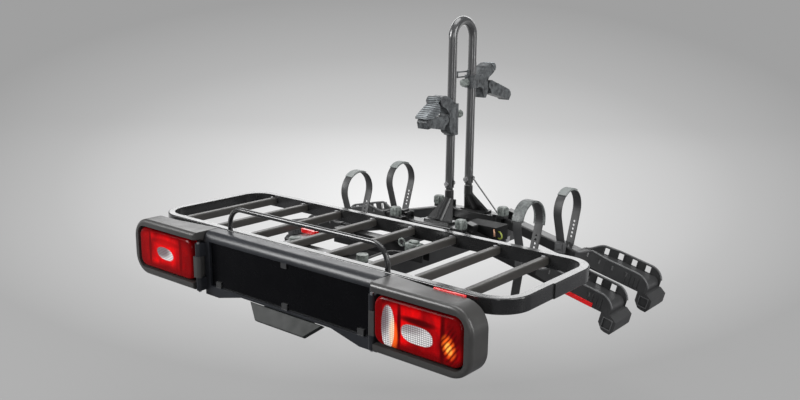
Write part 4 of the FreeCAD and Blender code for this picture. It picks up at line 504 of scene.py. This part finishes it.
def make_piece(name, bm, kind, body, bevel=0.0, smooth_angle=40):
    """Finish a bmesh as an object that rides on a CAD body."""
    bmesh.ops.remove_doubles(bm, verts=bm.verts, dist=1e-6)
    bmesh.ops.recalc_face_normals(bm, faces=bm.faces)
    data = bpy.data.meshes.new(name)
    bm.to_mesh(data)
    bm.free()
    data.materials.append(MATERIALS[kind])
    obj = bpy.data.objects.new(name, data)
    bpy.context.scene.collection.objects.link(obj)
    if bevel:
        modifier = obj.modifiers.new("bevel", "BEVEL")
        modifier.width = bevel
        modifier.segments = 3
        modifier.limit_method = "ANGLE"
        modifier.angle_limit = math.radians(35)
    data.shade_smooth()
    data.set_sharp_from_angle(angle=math.radians(smooth_angle))
    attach(obj, body)
    return obj


def add_ring(bm, points):
    return [bm.verts.new(p) for p in points]


def skin(bm, rings):
    """Faces between closed rings of equal length, with caps at both ends."""
    count = len(rings[0])
    for one, two in zip(rings, rings[1:]):
        for i in range(count):
            j = (i + 1) % count
            bm.faces.new((one[i], one[j], two[j], two[i]))
    bm.faces.new(list(reversed(rings[0])))
    bm.faces.new(rings[-1])


def directions(path):
    """Direction at each point of a path, from its neighbours."""
    for i in range(len(path)):
        yield (path[min(i + 1, len(path) - 1)] - path[max(i - 1, 0)]).normalized()


def sweep(bm, path, section):
    """Move a section (across the rack, up) along a path that doesn't turn sideways."""
    side = Vector((1, 0, 0))
    rings = []
    for spot, along in zip(path, directions(path)):
        up = along.cross(side).normalized()
        rings.append(add_ring(bm, [spot + side * a + up * b for a, b in section]))
    skin(bm, rings)


def tube(bm, path, radius, sides):
    """Round rod along a smooth path."""
    rings = []
    normal = None
    for spot, along in zip(path, directions(path)):
        if normal is None:
            normal = along.orthogonal().normalized()
        normal = (normal - along * normal.dot(along)).normalized()
        other = along.cross(normal)
        turns = [2 * math.pi * k / sides for k in range(sides)]
        rings.append(add_ring(bm, [spot + radius * (math.cos(turn) * normal + math.sin(turn) * other)
                                   for turn in turns]))
    skin(bm, rings)


def brick(bm, one, other):
    """Block between two opposite corners."""
    low, high = [[pick(pair) for pair in zip(one, other)] for pick in (min, max)]
    corners = [Vector((x, y, z)) for z in (low[2], high[2]) for x, y in
               ((low[0], low[1]), (high[0], low[1]), (high[0], high[1]), (low[0], high[1]))]
    skin(bm, [add_ring(bm, corners[:4]), add_ring(bm, corners[4:])])


def prism(bm, outline, half):
    """Prism across the middle of the rack from an outline of (ahead, above), all in millimetres."""
    skin(bm, [add_ring(bm, [at(x, ahead, above) for ahead, above in outline]) for x in (-half, half)])


def smooth_path(points, steps):
    """Smooth curve through points, as a list of points."""
    path = []
    for i in range(len(points) - 1):
        a = points[max(i - 1, 0)]
        b, c = points[i], points[i + 1]
        d = points[min(i + 2, len(points) - 1)]
        for k in range(steps):
            t = k / steps
            path.append(0.5 * ((2 * b) + (c - a) * t + (2 * a - 5 * b + 4 * c - d) * t * t
                               + (3 * b - a - 3 * c + d) * t * t * t))
    path.append(points[-1])
    return path


def punch(obj, holes):
    """Cut a bmesh of closed shapes out of an object."""
    bmesh.ops.recalc_face_normals(holes, faces=holes.faces)
    mesh = bpy.data.meshes.new("hole_cutter")
    holes.to_mesh(mesh)
    holes.free()
    cutter = bpy.data.objects.new("hole_cutter", mesh)
    bpy.context.scene.collection.objects.link(cutter)
    modifier = obj.modifiers.new("holes", "BOOLEAN")
    modifier.object = cutter
    modifier.solver = "EXACT"
    bpy.context.view_layer.update()
    shaped = bpy.data.meshes.new_from_object(obj.evaluated_get(bpy.context.evaluated_depsgraph_get()))
    obj.modifiers.clear()
    obj.data = shaped
    bpy.data.objects.remove(cutter)


# Wheel straps: a band on two legs that lean outwards into a round loop, its pad and its buckle

STRAP_OUT = 200
STRAP_HALF = 12
STRAP_THIN = 1.4
STRAP_FOOT = 21.8
STRAP_LOOP = 54.5
STRAP_MIDDLE = 98
STRAP_LEAN = math.radians(18)
LOOP_STEPS = 30
LEG_STEPS = 6
TURN_SPOT = (STRAP_LOOP * math.cos(STRAP_LEAN), STRAP_MIDDLE - STRAP_LOOP * math.sin(STRAP_LEAN))
KNEE_SPOT = (STRAP_FOOT, TURN_SPOT[1] - (TURN_SPOT[0] - STRAP_FOOT) / math.tan(STRAP_LEAN))
STRAP_HOLES = 5
HOLE_RADIUS = 0.0032
# Pads round the loops: first and last turn in degrees, metres beyond the band on each side, material
SHORT_PAD = (62, 130, 0.0012, "pad")
PAD_OF = {("near", "right"): (-16, 168, 0.0042, "worn")}
PAD_LIFT = 2.6
PAD_STEPS = 24
# Blocks of a buckle from the strap's foot: across, ahead and up
BUCKLE_FACE = 23.3
BUCKLE_BLOCKS = (((-14, -13, -20), (14, 0, 10)), ((-9, -17, -8), (9, -12, 8)))
BUCKLE_RIBS = (-15, -11, 12)
TAIL_ROUTE = ((0, -27, 2), (0, -34, -14), (-2, -37, -40), (-6, -38, -72), (-9, -38, -98))


def strap_base(row, side):
    """Middle of an arm's upper face under its wheel strap."""
    across = FOLD_ACROSS + STRAP_OUT * math.cos(ARM_DROOP) + ARM_TOP * math.sin(ARM_DROOP)
    above = FOLD_ABOVE - STRAP_OUT * math.sin(ARM_DROOP) + ARM_TOP * math.cos(ARM_DROOP)
    return at(SIDE_SIGN[side] * across, ROW_AHEAD[row], above)


def leg_spot(share):
    """Point on a strap's leaning leg as (ahead, above), from the knee at 0 to the loop at 1."""
    return tuple(knee + (turn - knee) * share for knee, turn in zip(KNEE_SPOT, TURN_SPOT))


def strap_line():
    """Strap as (ahead, above) over the arm, from one foot round the loop to the other."""
    foot, knee = KNEE_SPOT
    leg = [(foot, -22), (foot, knee - 4), (foot + 0.8, knee + 1)]
    leg += [leg_spot(k / LEG_STEPS) for k in range(1, LEG_STEPS)]
    loop = []
    for k in range(LOOP_STEPS + 1):
        turn = -STRAP_LEAN + (math.pi + 2 * STRAP_LEAN) * k / LOOP_STEPS
        loop.append((STRAP_LOOP * math.cos(turn), STRAP_MIDDLE + STRAP_LOOP * math.sin(turn)))
    return leg + loop + [(-y, z) for y, z in reversed(leg)]


def add_strap_band(row, side):
    """Domed rubber band with a row of holes in one leg; it stands for the plain CAD strap."""
    base = strap_base(row, side)
    half, thin = STRAP_HALF / 1000, STRAP_THIN / 1000
    section = [(-half, -thin), (-half * 0.82, -thin * 1.25), (half * 0.82, -thin * 1.25), (half, -thin),
               (half, thin), (half * 0.82, thin * 0.6), (-half * 0.82, thin * 0.6), (-half, thin)]
    bm = bmesh.new()
    sweep(bm, [base + mm(0, y, z) for y, z in strap_line()], section)
    band = make_piece(f"strap_band_{row}_{side}", bm, "rubber", f"arm_{row}_{side}",
                      0.0004, 50)
    holes = bmesh.new()
    for k in range(STRAP_HOLES):
        middle = base + mm(0, *leg_spot(0.28 + 0.11 * k))
        tube(holes, [middle - mm(0, 9, 0), middle + mm(0, 9, 0)], HOLE_RADIUS, 14)
    punch(band, holes)
    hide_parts(f"wheel_strap_{row}_{side}")


def add_strap_pad(row, side):
    """Pad round the loop of a strap."""
    first, last, extra, kind = PAD_OF.get((row, side), SHORT_PAD)
    base = strap_base(row, side) + mm(0, 0, STRAP_MIDDLE)
    reach = STRAP_LOOP + PAD_LIFT
    turns = [math.radians(first + (last - first) * k / PAD_STEPS) for k in range(PAD_STEPS + 1)]
    path = [base + mm(0, reach * math.cos(turn), reach * math.sin(turn)) for turn in turns]
    half = STRAP_HALF / 1000 + extra
    section = [(-half, -0.0042), (half, -0.0042), (half, 0.0009), (half * 0.8, 0.0014),
               (-half * 0.8, 0.0014), (-half, 0.0009)]
    bm = bmesh.new()
    sweep(bm, path, section)
    make_piece(f"strap_pad_{row}_{side}", bm, kind, f"arm_{row}_{side}", 0.0007, 40)


def add_strap_buckle(row, side):
    """Buckle with grip ribs on the near foot of a strap."""
    base = strap_base(row, side) - mm(0, BUCKLE_FACE, 0)
    bm = bmesh.new()
    for low, high in BUCKLE_BLOCKS:
        brick(bm, base + mm(*low), base + mm(*high))
    for height in BUCKLE_RIBS:
        brick(bm, base + mm(-11, -14.5, height - 1), base + mm(11, -12, height + 1))
    make_piece(f"strap_buckle_{row}_{side}", bm, "buckle", f"arm_{row}_{side}", 0.0015, 40)


def add_strap_tail():
    """Forked free end of the near right wheel strap, hanging outside the arm."""
    base = strap_base("near", "right")
    path = smooth_path([base + mm(*spot) for spot in TAIL_ROUTE], 6)
    half, thin = STRAP_HALF / 1000, STRAP_THIN / 1000
    bm = bmesh.new()
    sweep(bm, path, [(-half, -thin), (half, -thin), (half, thin), (-half, thin)])
    for sign in (-1, 1):
        brick(bm, path[-1] + mm(sign * 8 - 4, -STRAP_THIN, -14), path[-1] + mm(sign * 8 + 4, STRAP_THIN, 1))
    make_piece("strap_tail", bm, "rubber", "arm_near_right", 0.0004, 40)


# Trays and feet, in an arm's own millimetres: out, ahead and up from its fold axis

TRAY_NECK = 25
TRAY_HALF = 46
TRAY_FLOOR = -3
TRAY_RIM = 20
FLARE_START, FLARE_END = 246, 342
RIM_START = (250, -5)
RIM_CLIMB = 50
RIM_INSIDE = 1.75
END_START = 432
END_RADIUS = 38
WINDOWS = (305, 345, 385, 425)
WINDOW_HALF = 10.5
WINDOW_RIB_HALF = 1.1
WALL_RIBS = (404, 416, 428, 440)
WALL_RIB_HALF = 1.6
BEAD_RADIUS = 0.0026
FOOT_FACE = 44
FOOT_BARS = (((456, -60.5), (479, -58.5)), ((456, -34.5), (479, -32.5)),
             ((454.5, -60.5), (456.5, -32.5)), ((478.5, -60.5), (480.5, -32.5)))


def add_arm_piece(name, bm, kind, row, side, bevel, smooth_angle):
    """Turn a bmesh from an arm's own measures into the rack's and make it a piece of that arm."""
    sign = SIDE_SIGN[side]
    cosine, sine = math.cos(ARM_DROOP), math.sin(ARM_DROOP)
    origin = at(sign * FOLD_ACROSS, ROW_AHEAD[row], FOLD_ABOVE)
    matrix = Matrix(((sign * cosine, 0, sign * sine, origin.x), (0, 1, 0, origin.y),
                     (-sine, 0, cosine, origin.z), (0, 0, 0, 1)))
    bmesh.ops.transform(bm, matrix=matrix, verts=bm.verts)
    make_piece(name, bm, kind, f"arm_{row}_{side}", bevel, smooth_angle)


def add_tray_ribs(row, side):
    """Ribs beside the windows on both faces of one wall, and ribs outside the end of the other."""
    bm = bmesh.new()
    for middle in WINDOWS:
        for out in (middle - WINDOW_HALF, middle + WINDOW_HALF):
            for wall, deep, low in ((TRAY_HALF + 0.1, 1.4, -20), (TRAY_HALF - 3.4, -1.6, TRAY_FLOOR)):
                brick(bm, mm(out - WINDOW_RIB_HALF, wall, low),
                      mm(out + WINDOW_RIB_HALF, wall + deep, TRAY_RIM - 2))
    for out in WALL_RIBS:
        top = TRAY_RIM - 9 - (out - WALL_RIBS[0]) * 0.10
        brick(bm, mm(out - WALL_RIB_HALF, -TRAY_HALF - 1.9, -21),
              mm(out + WALL_RIB_HALF, -TRAY_HALF - 0.1, top))
    add_arm_piece(f"tray_ribs_{row}_{side}", bm, "tray", row, side, 0.0005, 30)


def rim_offset(out):
    """Distance of the rim beads from the tray's middle line; the tray flares out from the arm."""
    flare = (out - FLARE_START) / (FLARE_END - FLARE_START)
    return TRAY_NECK + (TRAY_HALF - TRAY_NECK) * min(1.0, max(0.0, flare)) - RIM_INSIDE


def add_tray_rim(row, side):
    """Round beads along the upper edges of a tray and down its rounded end."""
    bm = bmesh.new()
    for sign in (-1, 1):
        line = []
        for k in range(11):
            share = k / 10
            out = RIM_START[0] + RIM_CLIMB * share
            up = RIM_START[1] + (TRAY_RIM - RIM_START[1]) * share * share * (3 - 2 * share)
            line.append(mm(out, sign * rim_offset(out), up))
        line += [mm(out, sign * rim_offset(out), TRAY_RIM) for out in (312, 326, FLARE_END, END_START)]
        for k in range(1, 9):
            turn = math.radians(90 - 72 * k / 8)
            line.append(mm(END_START + END_RADIUS * math.cos(turn),
                           sign * (TRAY_HALF - RIM_INSIDE - 2.5 * (k / 8) ** 3),
                           TRAY_RIM - END_RADIUS + END_RADIUS * math.sin(turn)))
        tube(bm, line, BEAD_RADIUS, 10)
    # The beads take the lighter rim material, a painted highlight along the tray's edges
    add_arm_piece(f"tray_rim_{row}_{side}", bm, "rim", row, side, 0, 60)


def add_foot_frame(row, side):
    """Raised frame on both faces of a foot."""
    bm = bmesh.new()
    for face in (-FOOT_FACE, FOOT_FACE):
        for low, high in FOOT_BARS:
            brick(bm, mm(low[0], face, low[1]), mm(high[0], face + math.copysign(0.9, face), high[1]))
    add_arm_piece(f"foot_frame_{row}_{side}", bm, "rim", row, side, 0.0004, 30)


def add_tray_reflector():
    """Red reflector low on the rear wall of the near right tray."""
    bm = bmesh.new()
    brick(bm, mm(335, -48.5, -23.8), mm(421, -45.8, -12.5))
    add_arm_piece("tray_reflector", bm, "reflector", "near", "right", 0.0008, 30)


def add_light_reflector():
    """Red reflector that stands behind the top of the right light."""
    bm = bmesh.new()
    brick(bm, at(408, 19.6, 70), at(486, 25, 91.5))
    make_piece("light_reflector", bm, "reflector", "light_right", 0.0012, 30)


# Pads on the frame clamps, with ribs as waves

PAD_HALF = 18.2
PAD_RIBS = 9
WAVE_STEPS = 6
JAW_PAD_START = (490, 350)
JAW_PAD_SIZE = (52, 33)
JAW_PAD_BACK = [(549, 379), (552, 360), (540, 351), (520, 346), (498, 344), (490, 345)]
# Nose pads: name, body, middle, radius, first and last turn in degrees
NOSE_PADS = (("lower_nose_pad", "lower_clamp", (546.5, 389), 11.5, 60, 235),
             ("upper_nose_pad", "upper_clamp", (800, 467), 13.0, -40, 130))
# Ribs of the upper jaw: its hinge, its droop, and the first rib, pitch and height along the jaw
UPPER_HINGE = (794.5, 419)
UPPER_JAW_DROOP = math.radians(-20)
JAW_RIBS = 9
JAW_RIB_START, JAW_RIB_PITCH, JAW_RIB_UP = 36, 7.6, 13.2


def waves():
    """Shares from 0 to 1 over a ribbed outline, each with the height of its wave from -1 to 1."""
    steps = PAD_RIBS * WAVE_STEPS
    return [(k / steps, math.cos(2 * math.pi * PAD_RIBS * k / steps)) for k in range(steps + 1)]


def add_clamp_pads():
    """Ribbed rubber on the lower jaw, the noses of both clamps and the upper jaw."""
    (start, base), (reach, climb) = JAW_PAD_START, JAW_PAD_SIZE
    top = [(start + reach * share, base + climb * share ** 0.85 + 1.1 * wave) for share, wave in waves()]
    bm = bmesh.new()
    prism(bm, top + JAW_PAD_BACK, PAD_HALF)
    make_piece("lower_jaw_pad", bm, "rib", "lower_jaw", 0, 25)

    for name, body, (ahead, above), radius, first, last in NOSE_PADS:
        outline = []
        for share, wave in waves():
            turn = math.radians(first + (last - first) * share)
            rise = radius + 0.9 * wave
            outline.append((ahead + rise * math.cos(turn), above + rise * math.sin(turn)))
        bm = bmesh.new()
        prism(bm, outline, PAD_HALF)
        make_piece(name, bm, "rib", body, 0, 25)

    cosine, sine = math.cos(UPPER_JAW_DROOP), math.sin(UPPER_JAW_DROOP)
    bm = bmesh.new()
    for k in range(JAW_RIBS):
        out, up = JAW_RIB_START + JAW_RIB_PITCH * k, JAW_RIB_UP
        for x in (-10.5, 10.5):
            spot = at(x, UPPER_HINGE[0] + out * cosine - up * sine, UPPER_HINGE[1] + out * sine + up * cosine)
            brick(bm, spot + mm(-6.5, -1.6, -1.5), spot + mm(6.5, 1.6, 0.8))
    make_piece("upper_jaw_ribs", bm, "rib", "upper_jaw", 0.0004, 25)


# Short wires: name, material, diameter and length in metres, route in millimetres
WIRES = (
    ("wire_black", "paint", 0.0056, 0.212,
     ((186, 300, 64), (176, 262, 66), (150, 240, 64), (120, 226, 66), (102, 180, 58), (96, 120, 50))),
    ("wire_amber", "amber", 0.0044, 0.049,
     ((174, 596, 56), (178, 585, 58), (186, 578, 51), (184, 580, 41), (177, 596, 37))),
    ("wire_green", "green", 0.0044, 0.067,
     ((176, 602, 49), (189, 597, 52), (202, 590, 46), (202, 588, 36), (190, 595, 32), (176, 602, 34))),
)


def add_wires():
    """Wires under the slats and at the wiring box, as round curves."""
    for name, kind, diameter, length, route in WIRES:
        data = bpy.data.curves.new(name, "CURVE")
        data.dimensions = "3D"
        data.bevel_depth = diameter / 2
        data.bevel_resolution = 4
        data.resolution_u = 10
        data.use_fill_caps = True
        spline = data.splines.new("NURBS")
        spline.points.add(len(route) - 1)
        for point, spot in zip(spline.points, route):
            point.co = (*at(*spot), 1)
        spline.order_u = 3
        spline.use_endpoint_u = True
        wire = bpy.data.objects.new(name, data)
        bpy.context.scene.collection.objects.link(wire)
        data.materials.append(MATERIALS[kind])
        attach(wire, "carrier")


# Lock knobs beside the arm folds, latch and slat brackets

LOCK_RADIUS = 0.0150
LOCK_TALL = 0.026
LOCK_RIBS = 12
LOCK_SPOT = (113, -38, 59.5)
# Outline of a turned knob: share of its radius and share of its height
LOCK_PROFILE = ((0.86, 0.0), (1.0, 0.12), (1.0, 0.78), (0.86, 0.95), (0.34, 1.0))
# Blocks of a bracket: across, ahead of the rail's middle and above, one corner and the other
BRACKET_BLOCKS = (((84, -48, 12), (97, -19.5, 56)), ((84, -48, 52), (124, -24, 60)))
LATCH_BLOCKS = (((108, 296, 47), (150, 320, 70)), ((116, 300, 70), (142, 316, 76)))
LATCH_RING = (98, 298, 68)
LATCH_RING_RADIUS = 9
SLAT_COUNT = 8
SLAT_FIRST = -472
SLAT_PITCH = 130.9
SLAT_BRACKET_HALF = 11
SLAT_BRACKET_WALL = 1.8
SLAT_BRACKET_BACK = 65.2


def ribbed_knob(bm, base):
    """Standing knob with grip ribs and a rounded top."""
    rings = []
    for share, height in LOCK_PROFILE:
        ripple = 0.09 if 0.05 < height < 0.9 else 0.0
        ring = []
        for k in range(LOCK_RIBS * WAVE_STEPS):
            turn = 2 * math.pi * k / (LOCK_RIBS * WAVE_STEPS)
            reach = LOCK_RADIUS * (share + ripple * math.cos(LOCK_RIBS * turn))
            ring.append(base + Vector((reach * math.cos(turn), reach * math.sin(turn), LOCK_TALL * height)))
        rings.append(add_ring(bm, ring))
    skin(bm, rings)


def add_lock_knob(row, side):
    """Lock knob on a bracket at the rail's rear face, clear of the arm when it folds."""
    sign, ahead = SIDE_SIGN[side], ROW_AHEAD[row]
    bm = bmesh.new()
    for low, high in BRACKET_BLOCKS:
        brick(bm, *(at(sign * x, ahead + y, z) for x, y, z in (low, high)))
    make_piece(f"lock_bracket_{row}_{side}", bm, "paint", "carrier", 0.001, 40)
    bm = bmesh.new()
    x, y, z = LOCK_SPOT
    ribbed_knob(bm, at(sign * x, ahead + y, z))
    make_piece(f"lock_knob_{row}_{side}", bm, "knob", "carrier", 0, 35)


def add_basket_latch():
    """Small block with a pull ring, on the right side of the frame under the slats."""
    bm = bmesh.new()
    for low, high in LATCH_BLOCKS:
        brick(bm, at(*low), at(*high))
    make_piece("basket_latch", bm, "knob", "carrier", 0.003, 40)
    bm = bmesh.new()
    x, ahead, z = LATCH_RING
    turns = [math.radians(15 * k) for k in range(24)]
    ring = [at(x + LATCH_RING_RADIUS * math.cos(turn), ahead, z + LATCH_RING_RADIUS * math.sin(turn))
            for turn in turns]
    tube(bm, ring + [ring[0]], 0.0024, 10)
    make_piece("latch_ring", bm, "knob", "carrier", 0, 60)


def add_slat_brackets():
    """Short lighter brackets where the slats meet the rear bar of the basket."""
    half, back = SLAT_BRACKET_HALF, SLAT_BRACKET_BACK
    bm = bmesh.new()
    for number in range(SLAT_COUNT):
        x = SLAT_FIRST + SLAT_PITCH * number
        brick(bm, at(x - half, back, 77.5), at(x + half, 80, 80.2))
        for sign in (-1, 1):
            brick(bm, at(x + sign * half, back, 59), at(x + sign * (half - SLAT_BRACKET_WALL), 78, 79))
    make_piece("slat_brackets", bm, "rim", "carrier", 0.0005, 30)


# Studio

# Level directions to the right and away, as the camera stands
RIGHTWARDS = (math.cos(CAMERA_AZIMUTH), math.sin(CAMERA_AZIMUTH), 0)
AWAY = (-math.sin(CAMERA_AZIMUTH), math.cos(CAMERA_AZIMUTH), 0)
# The backdrop's middle below the level, its half width and height in pixels, and the tones of its painted
# pool of light outwards
BACKDROP_UP = math.radians(12.9)
BACKDROP_HALF = (480, 196)
LIGHT_POOL_TONES = [(0.0, 0.939), (0.24, 0.80), (0.42, 0.69), (0.60, 0.60), (0.72, 0.52), (0.84, 0.47),
                  (1.0, 0.402)]
WORLD_COLOUR = (0.80, 0.81, 0.83, 1)
FLOOR_HALF = 1500


def add_lights():
    for name, place, aim, size, power in LIGHTS:
        data = bpy.data.lights.new(name, "AREA")
        data.shape = "RECTANGLE"
        data.size, data.size_y = size
        data.energy = power
        light = bpy.data.objects.new(name, data)
        light.location = place
        light.rotation_euler = (Vector(aim) - Vector(place)).to_track_quat("-Z", "Y").to_euler()
        bpy.context.scene.collection.objects.link(light)


def blend(tree, factor, one, two):
    """Shader one where the factor is 0 and two where it is 1."""
    node = tree.nodes.new("ShaderNodeMixShader")
    for socket, value in zip(node.inputs, (factor, one, two)):
        tree.links.new(value, socket)
    return node.outputs[0]


def glow(tree, colour, kind="ShaderNodeEmission", strength=1.0):
    """Light of its own in a colour."""
    node = tree.nodes.new(kind)
    tree.links.new(colour, node.inputs["Color"])
    node.inputs["Strength"].default_value = strength
    return node.outputs[0]


def along(tree, vector, axis):
    """Length of a vector along an axis."""
    node = tree.nodes.new("ShaderNodeVectorMath")
    node.operation = "DOT_PRODUCT"
    node.inputs[1].default_value = axis
    tree.links.new(vector, node.inputs[0])
    return node.outputs["Value"]


def painted_light_pool(tree, direction):
    """Painted pool of light: pale oval that darkens outwards, from a vector that starts at the camera's
    place.
    """
    across = along(tree, direction, RIGHTWARDS)
    forward = along(tree, direction, AWAY)
    up = along(tree, direction, (0, 0, 1))
    forward = arithmetic(tree, "MAXIMUM", forward, 0.02)
    across = arithmetic(tree, "DIVIDE", across, forward)
    up = arithmetic(tree, "ADD", arithmetic(tree, "DIVIDE", up, forward), math.tan(BACKDROP_UP))
    wide, tall = BACKDROP_HALF
    across = arithmetic(tree, "MULTIPLY", across, FOCAL_PIXELS / wide * math.cos(BACKDROP_UP))
    up = arithmetic(tree, "MULTIPLY", up, FOCAL_PIXELS / tall * math.cos(BACKDROP_UP) ** 2)
    far = arithmetic(tree, "SQRT", arithmetic(tree, "ADD", arithmetic(tree, "MULTIPLY", across, across),
                                              arithmetic(tree, "MULTIPLY", up, up)))
    return ramp(tree, far, [(place, (tone, tone, tone)) for place, tone in LIGHT_POOL_TONES])


def add_world():
    """Soft grey light; the camera itself sees the backdrop's painted pool of light."""
    world = bpy.data.worlds.new("studio")
    bpy.context.scene.world = world
    world.use_nodes = True
    tree = world.node_tree
    background = tree.nodes["Background"]
    background.inputs["Color"].default_value = WORLD_COLOUR
    background.inputs["Strength"].default_value = WORLD_STRENGTH
    coordinates = tree.nodes.new("ShaderNodeTexCoord")
    seen = glow(tree, painted_light_pool(tree, coordinates.outputs["Generated"]), "ShaderNodeBackground",
                FLOOR_GLOW + (1 - FLOOR_GLOW) * WORLD_STRENGTH * WORLD_COLOUR[1])
    path = tree.nodes.new("ShaderNodeLightPath")
    tree.links.new(blend(tree, path.outputs["Is Camera Ray"], background.outputs[0], seen),
                   tree.nodes["World Output"].inputs[0])


def floor_material():
    """Floor painted with the backdrop's pool of light that takes shadows; gloss sees a painted reflection,
    dark in front and pale behind.
    """
    material, tree, shader = new_material("studio_floor")
    output = shader.outputs[0].links[0].to_node
    coordinates = tree.nodes.new("ShaderNodeTexCoord")
    from_camera = tree.nodes.new("ShaderNodeVectorMath")
    from_camera.operation = "SUBTRACT"
    from_camera.inputs[1].default_value = (CAMERA_AT.x, CAMERA_AT.y, CAMERA_AT.z - FLOOR_Z)
    tree.links.new(coordinates.outputs["Object"], from_camera.inputs[0])
    pool_light = painted_light_pool(tree, from_camera.outputs[0])
    tree.links.new(pool_light, shader.inputs["Base Color"])
    tree.links.new(spread(tree, noise(tree, 3.0, 2.0), 0.75, 0.85), shader.inputs["Roughness"])
    shader.inputs["Specular IOR Level"].default_value = 0.0

    # The camera sees the floor mostly as its own glow in the painted pool of light
    path = tree.nodes.new("ShaderNodeLightPath")
    shown = arithmetic(tree, "MULTIPLY", path.outputs["Is Camera Ray"], FLOOR_GLOW)
    seen = blend(tree, shown, shader.outputs[0], glow(tree, pool_light))
    # Glossy rays see a painted reflection: the floor glows dark in front and pale behind
    behind = along(tree, coordinates.outputs["Object"], AWAY)
    far = tree.nodes.new("ShaderNodeMapRange")
    far.inputs["From Min"].default_value = -0.6
    far.inputs["From Max"].default_value = 2.2
    tree.links.new(behind, far.inputs[0])
    mirrored = glow(tree, ramp(tree, far.outputs[0], [(0.0, (0.13, 0.13, 0.14)), (1.0, (1.0, 1.0, 1.0))]))
    tree.links.new(blend(tree, path.outputs["Is Glossy Ray"], seen, mirrored), output.inputs[0])
    return material


def add_floor():
    bm = bmesh.new()
    bmesh.ops.create_grid(bm, x_segments=2, y_segments=2, size=FLOOR_HALF)
    data = bpy.data.meshes.new("floor")
    bm.to_mesh(data)
    bm.free()
    data.materials.append(floor_material())
    floor = bpy.data.objects.new("floor", data)
    floor.location = (0, 0, FLOOR_Z)
    bpy.context.scene.collection.objects.link(floor)


add_camera()
add_world()
add_lights()
add_floor()
MATERIALS = make_materials()
dress_nodes()
for row in ROW_AHEAD:
    for side in SIDE_SIGN:
        add_strap_band(row, side)
        add_strap_pad(row, side)
        add_strap_buckle(row, side)
        add_tray_ribs(row, side)
        add_tray_rim(row, side)
        add_foot_frame(row, side)
add_tray_reflector()
add_light_reflector()
add_clamp_pads()
add_wires()
add_strap_tail()
for row in ROW_AHEAD:
    for side in SIDE_SIGN:
        add_lock_knob(row, side)
add_basket_latch()
add_slat_brackets()

bpy.context.scene.view_settings.view_transform = "Standard"
bpy.context.view_layer.update()
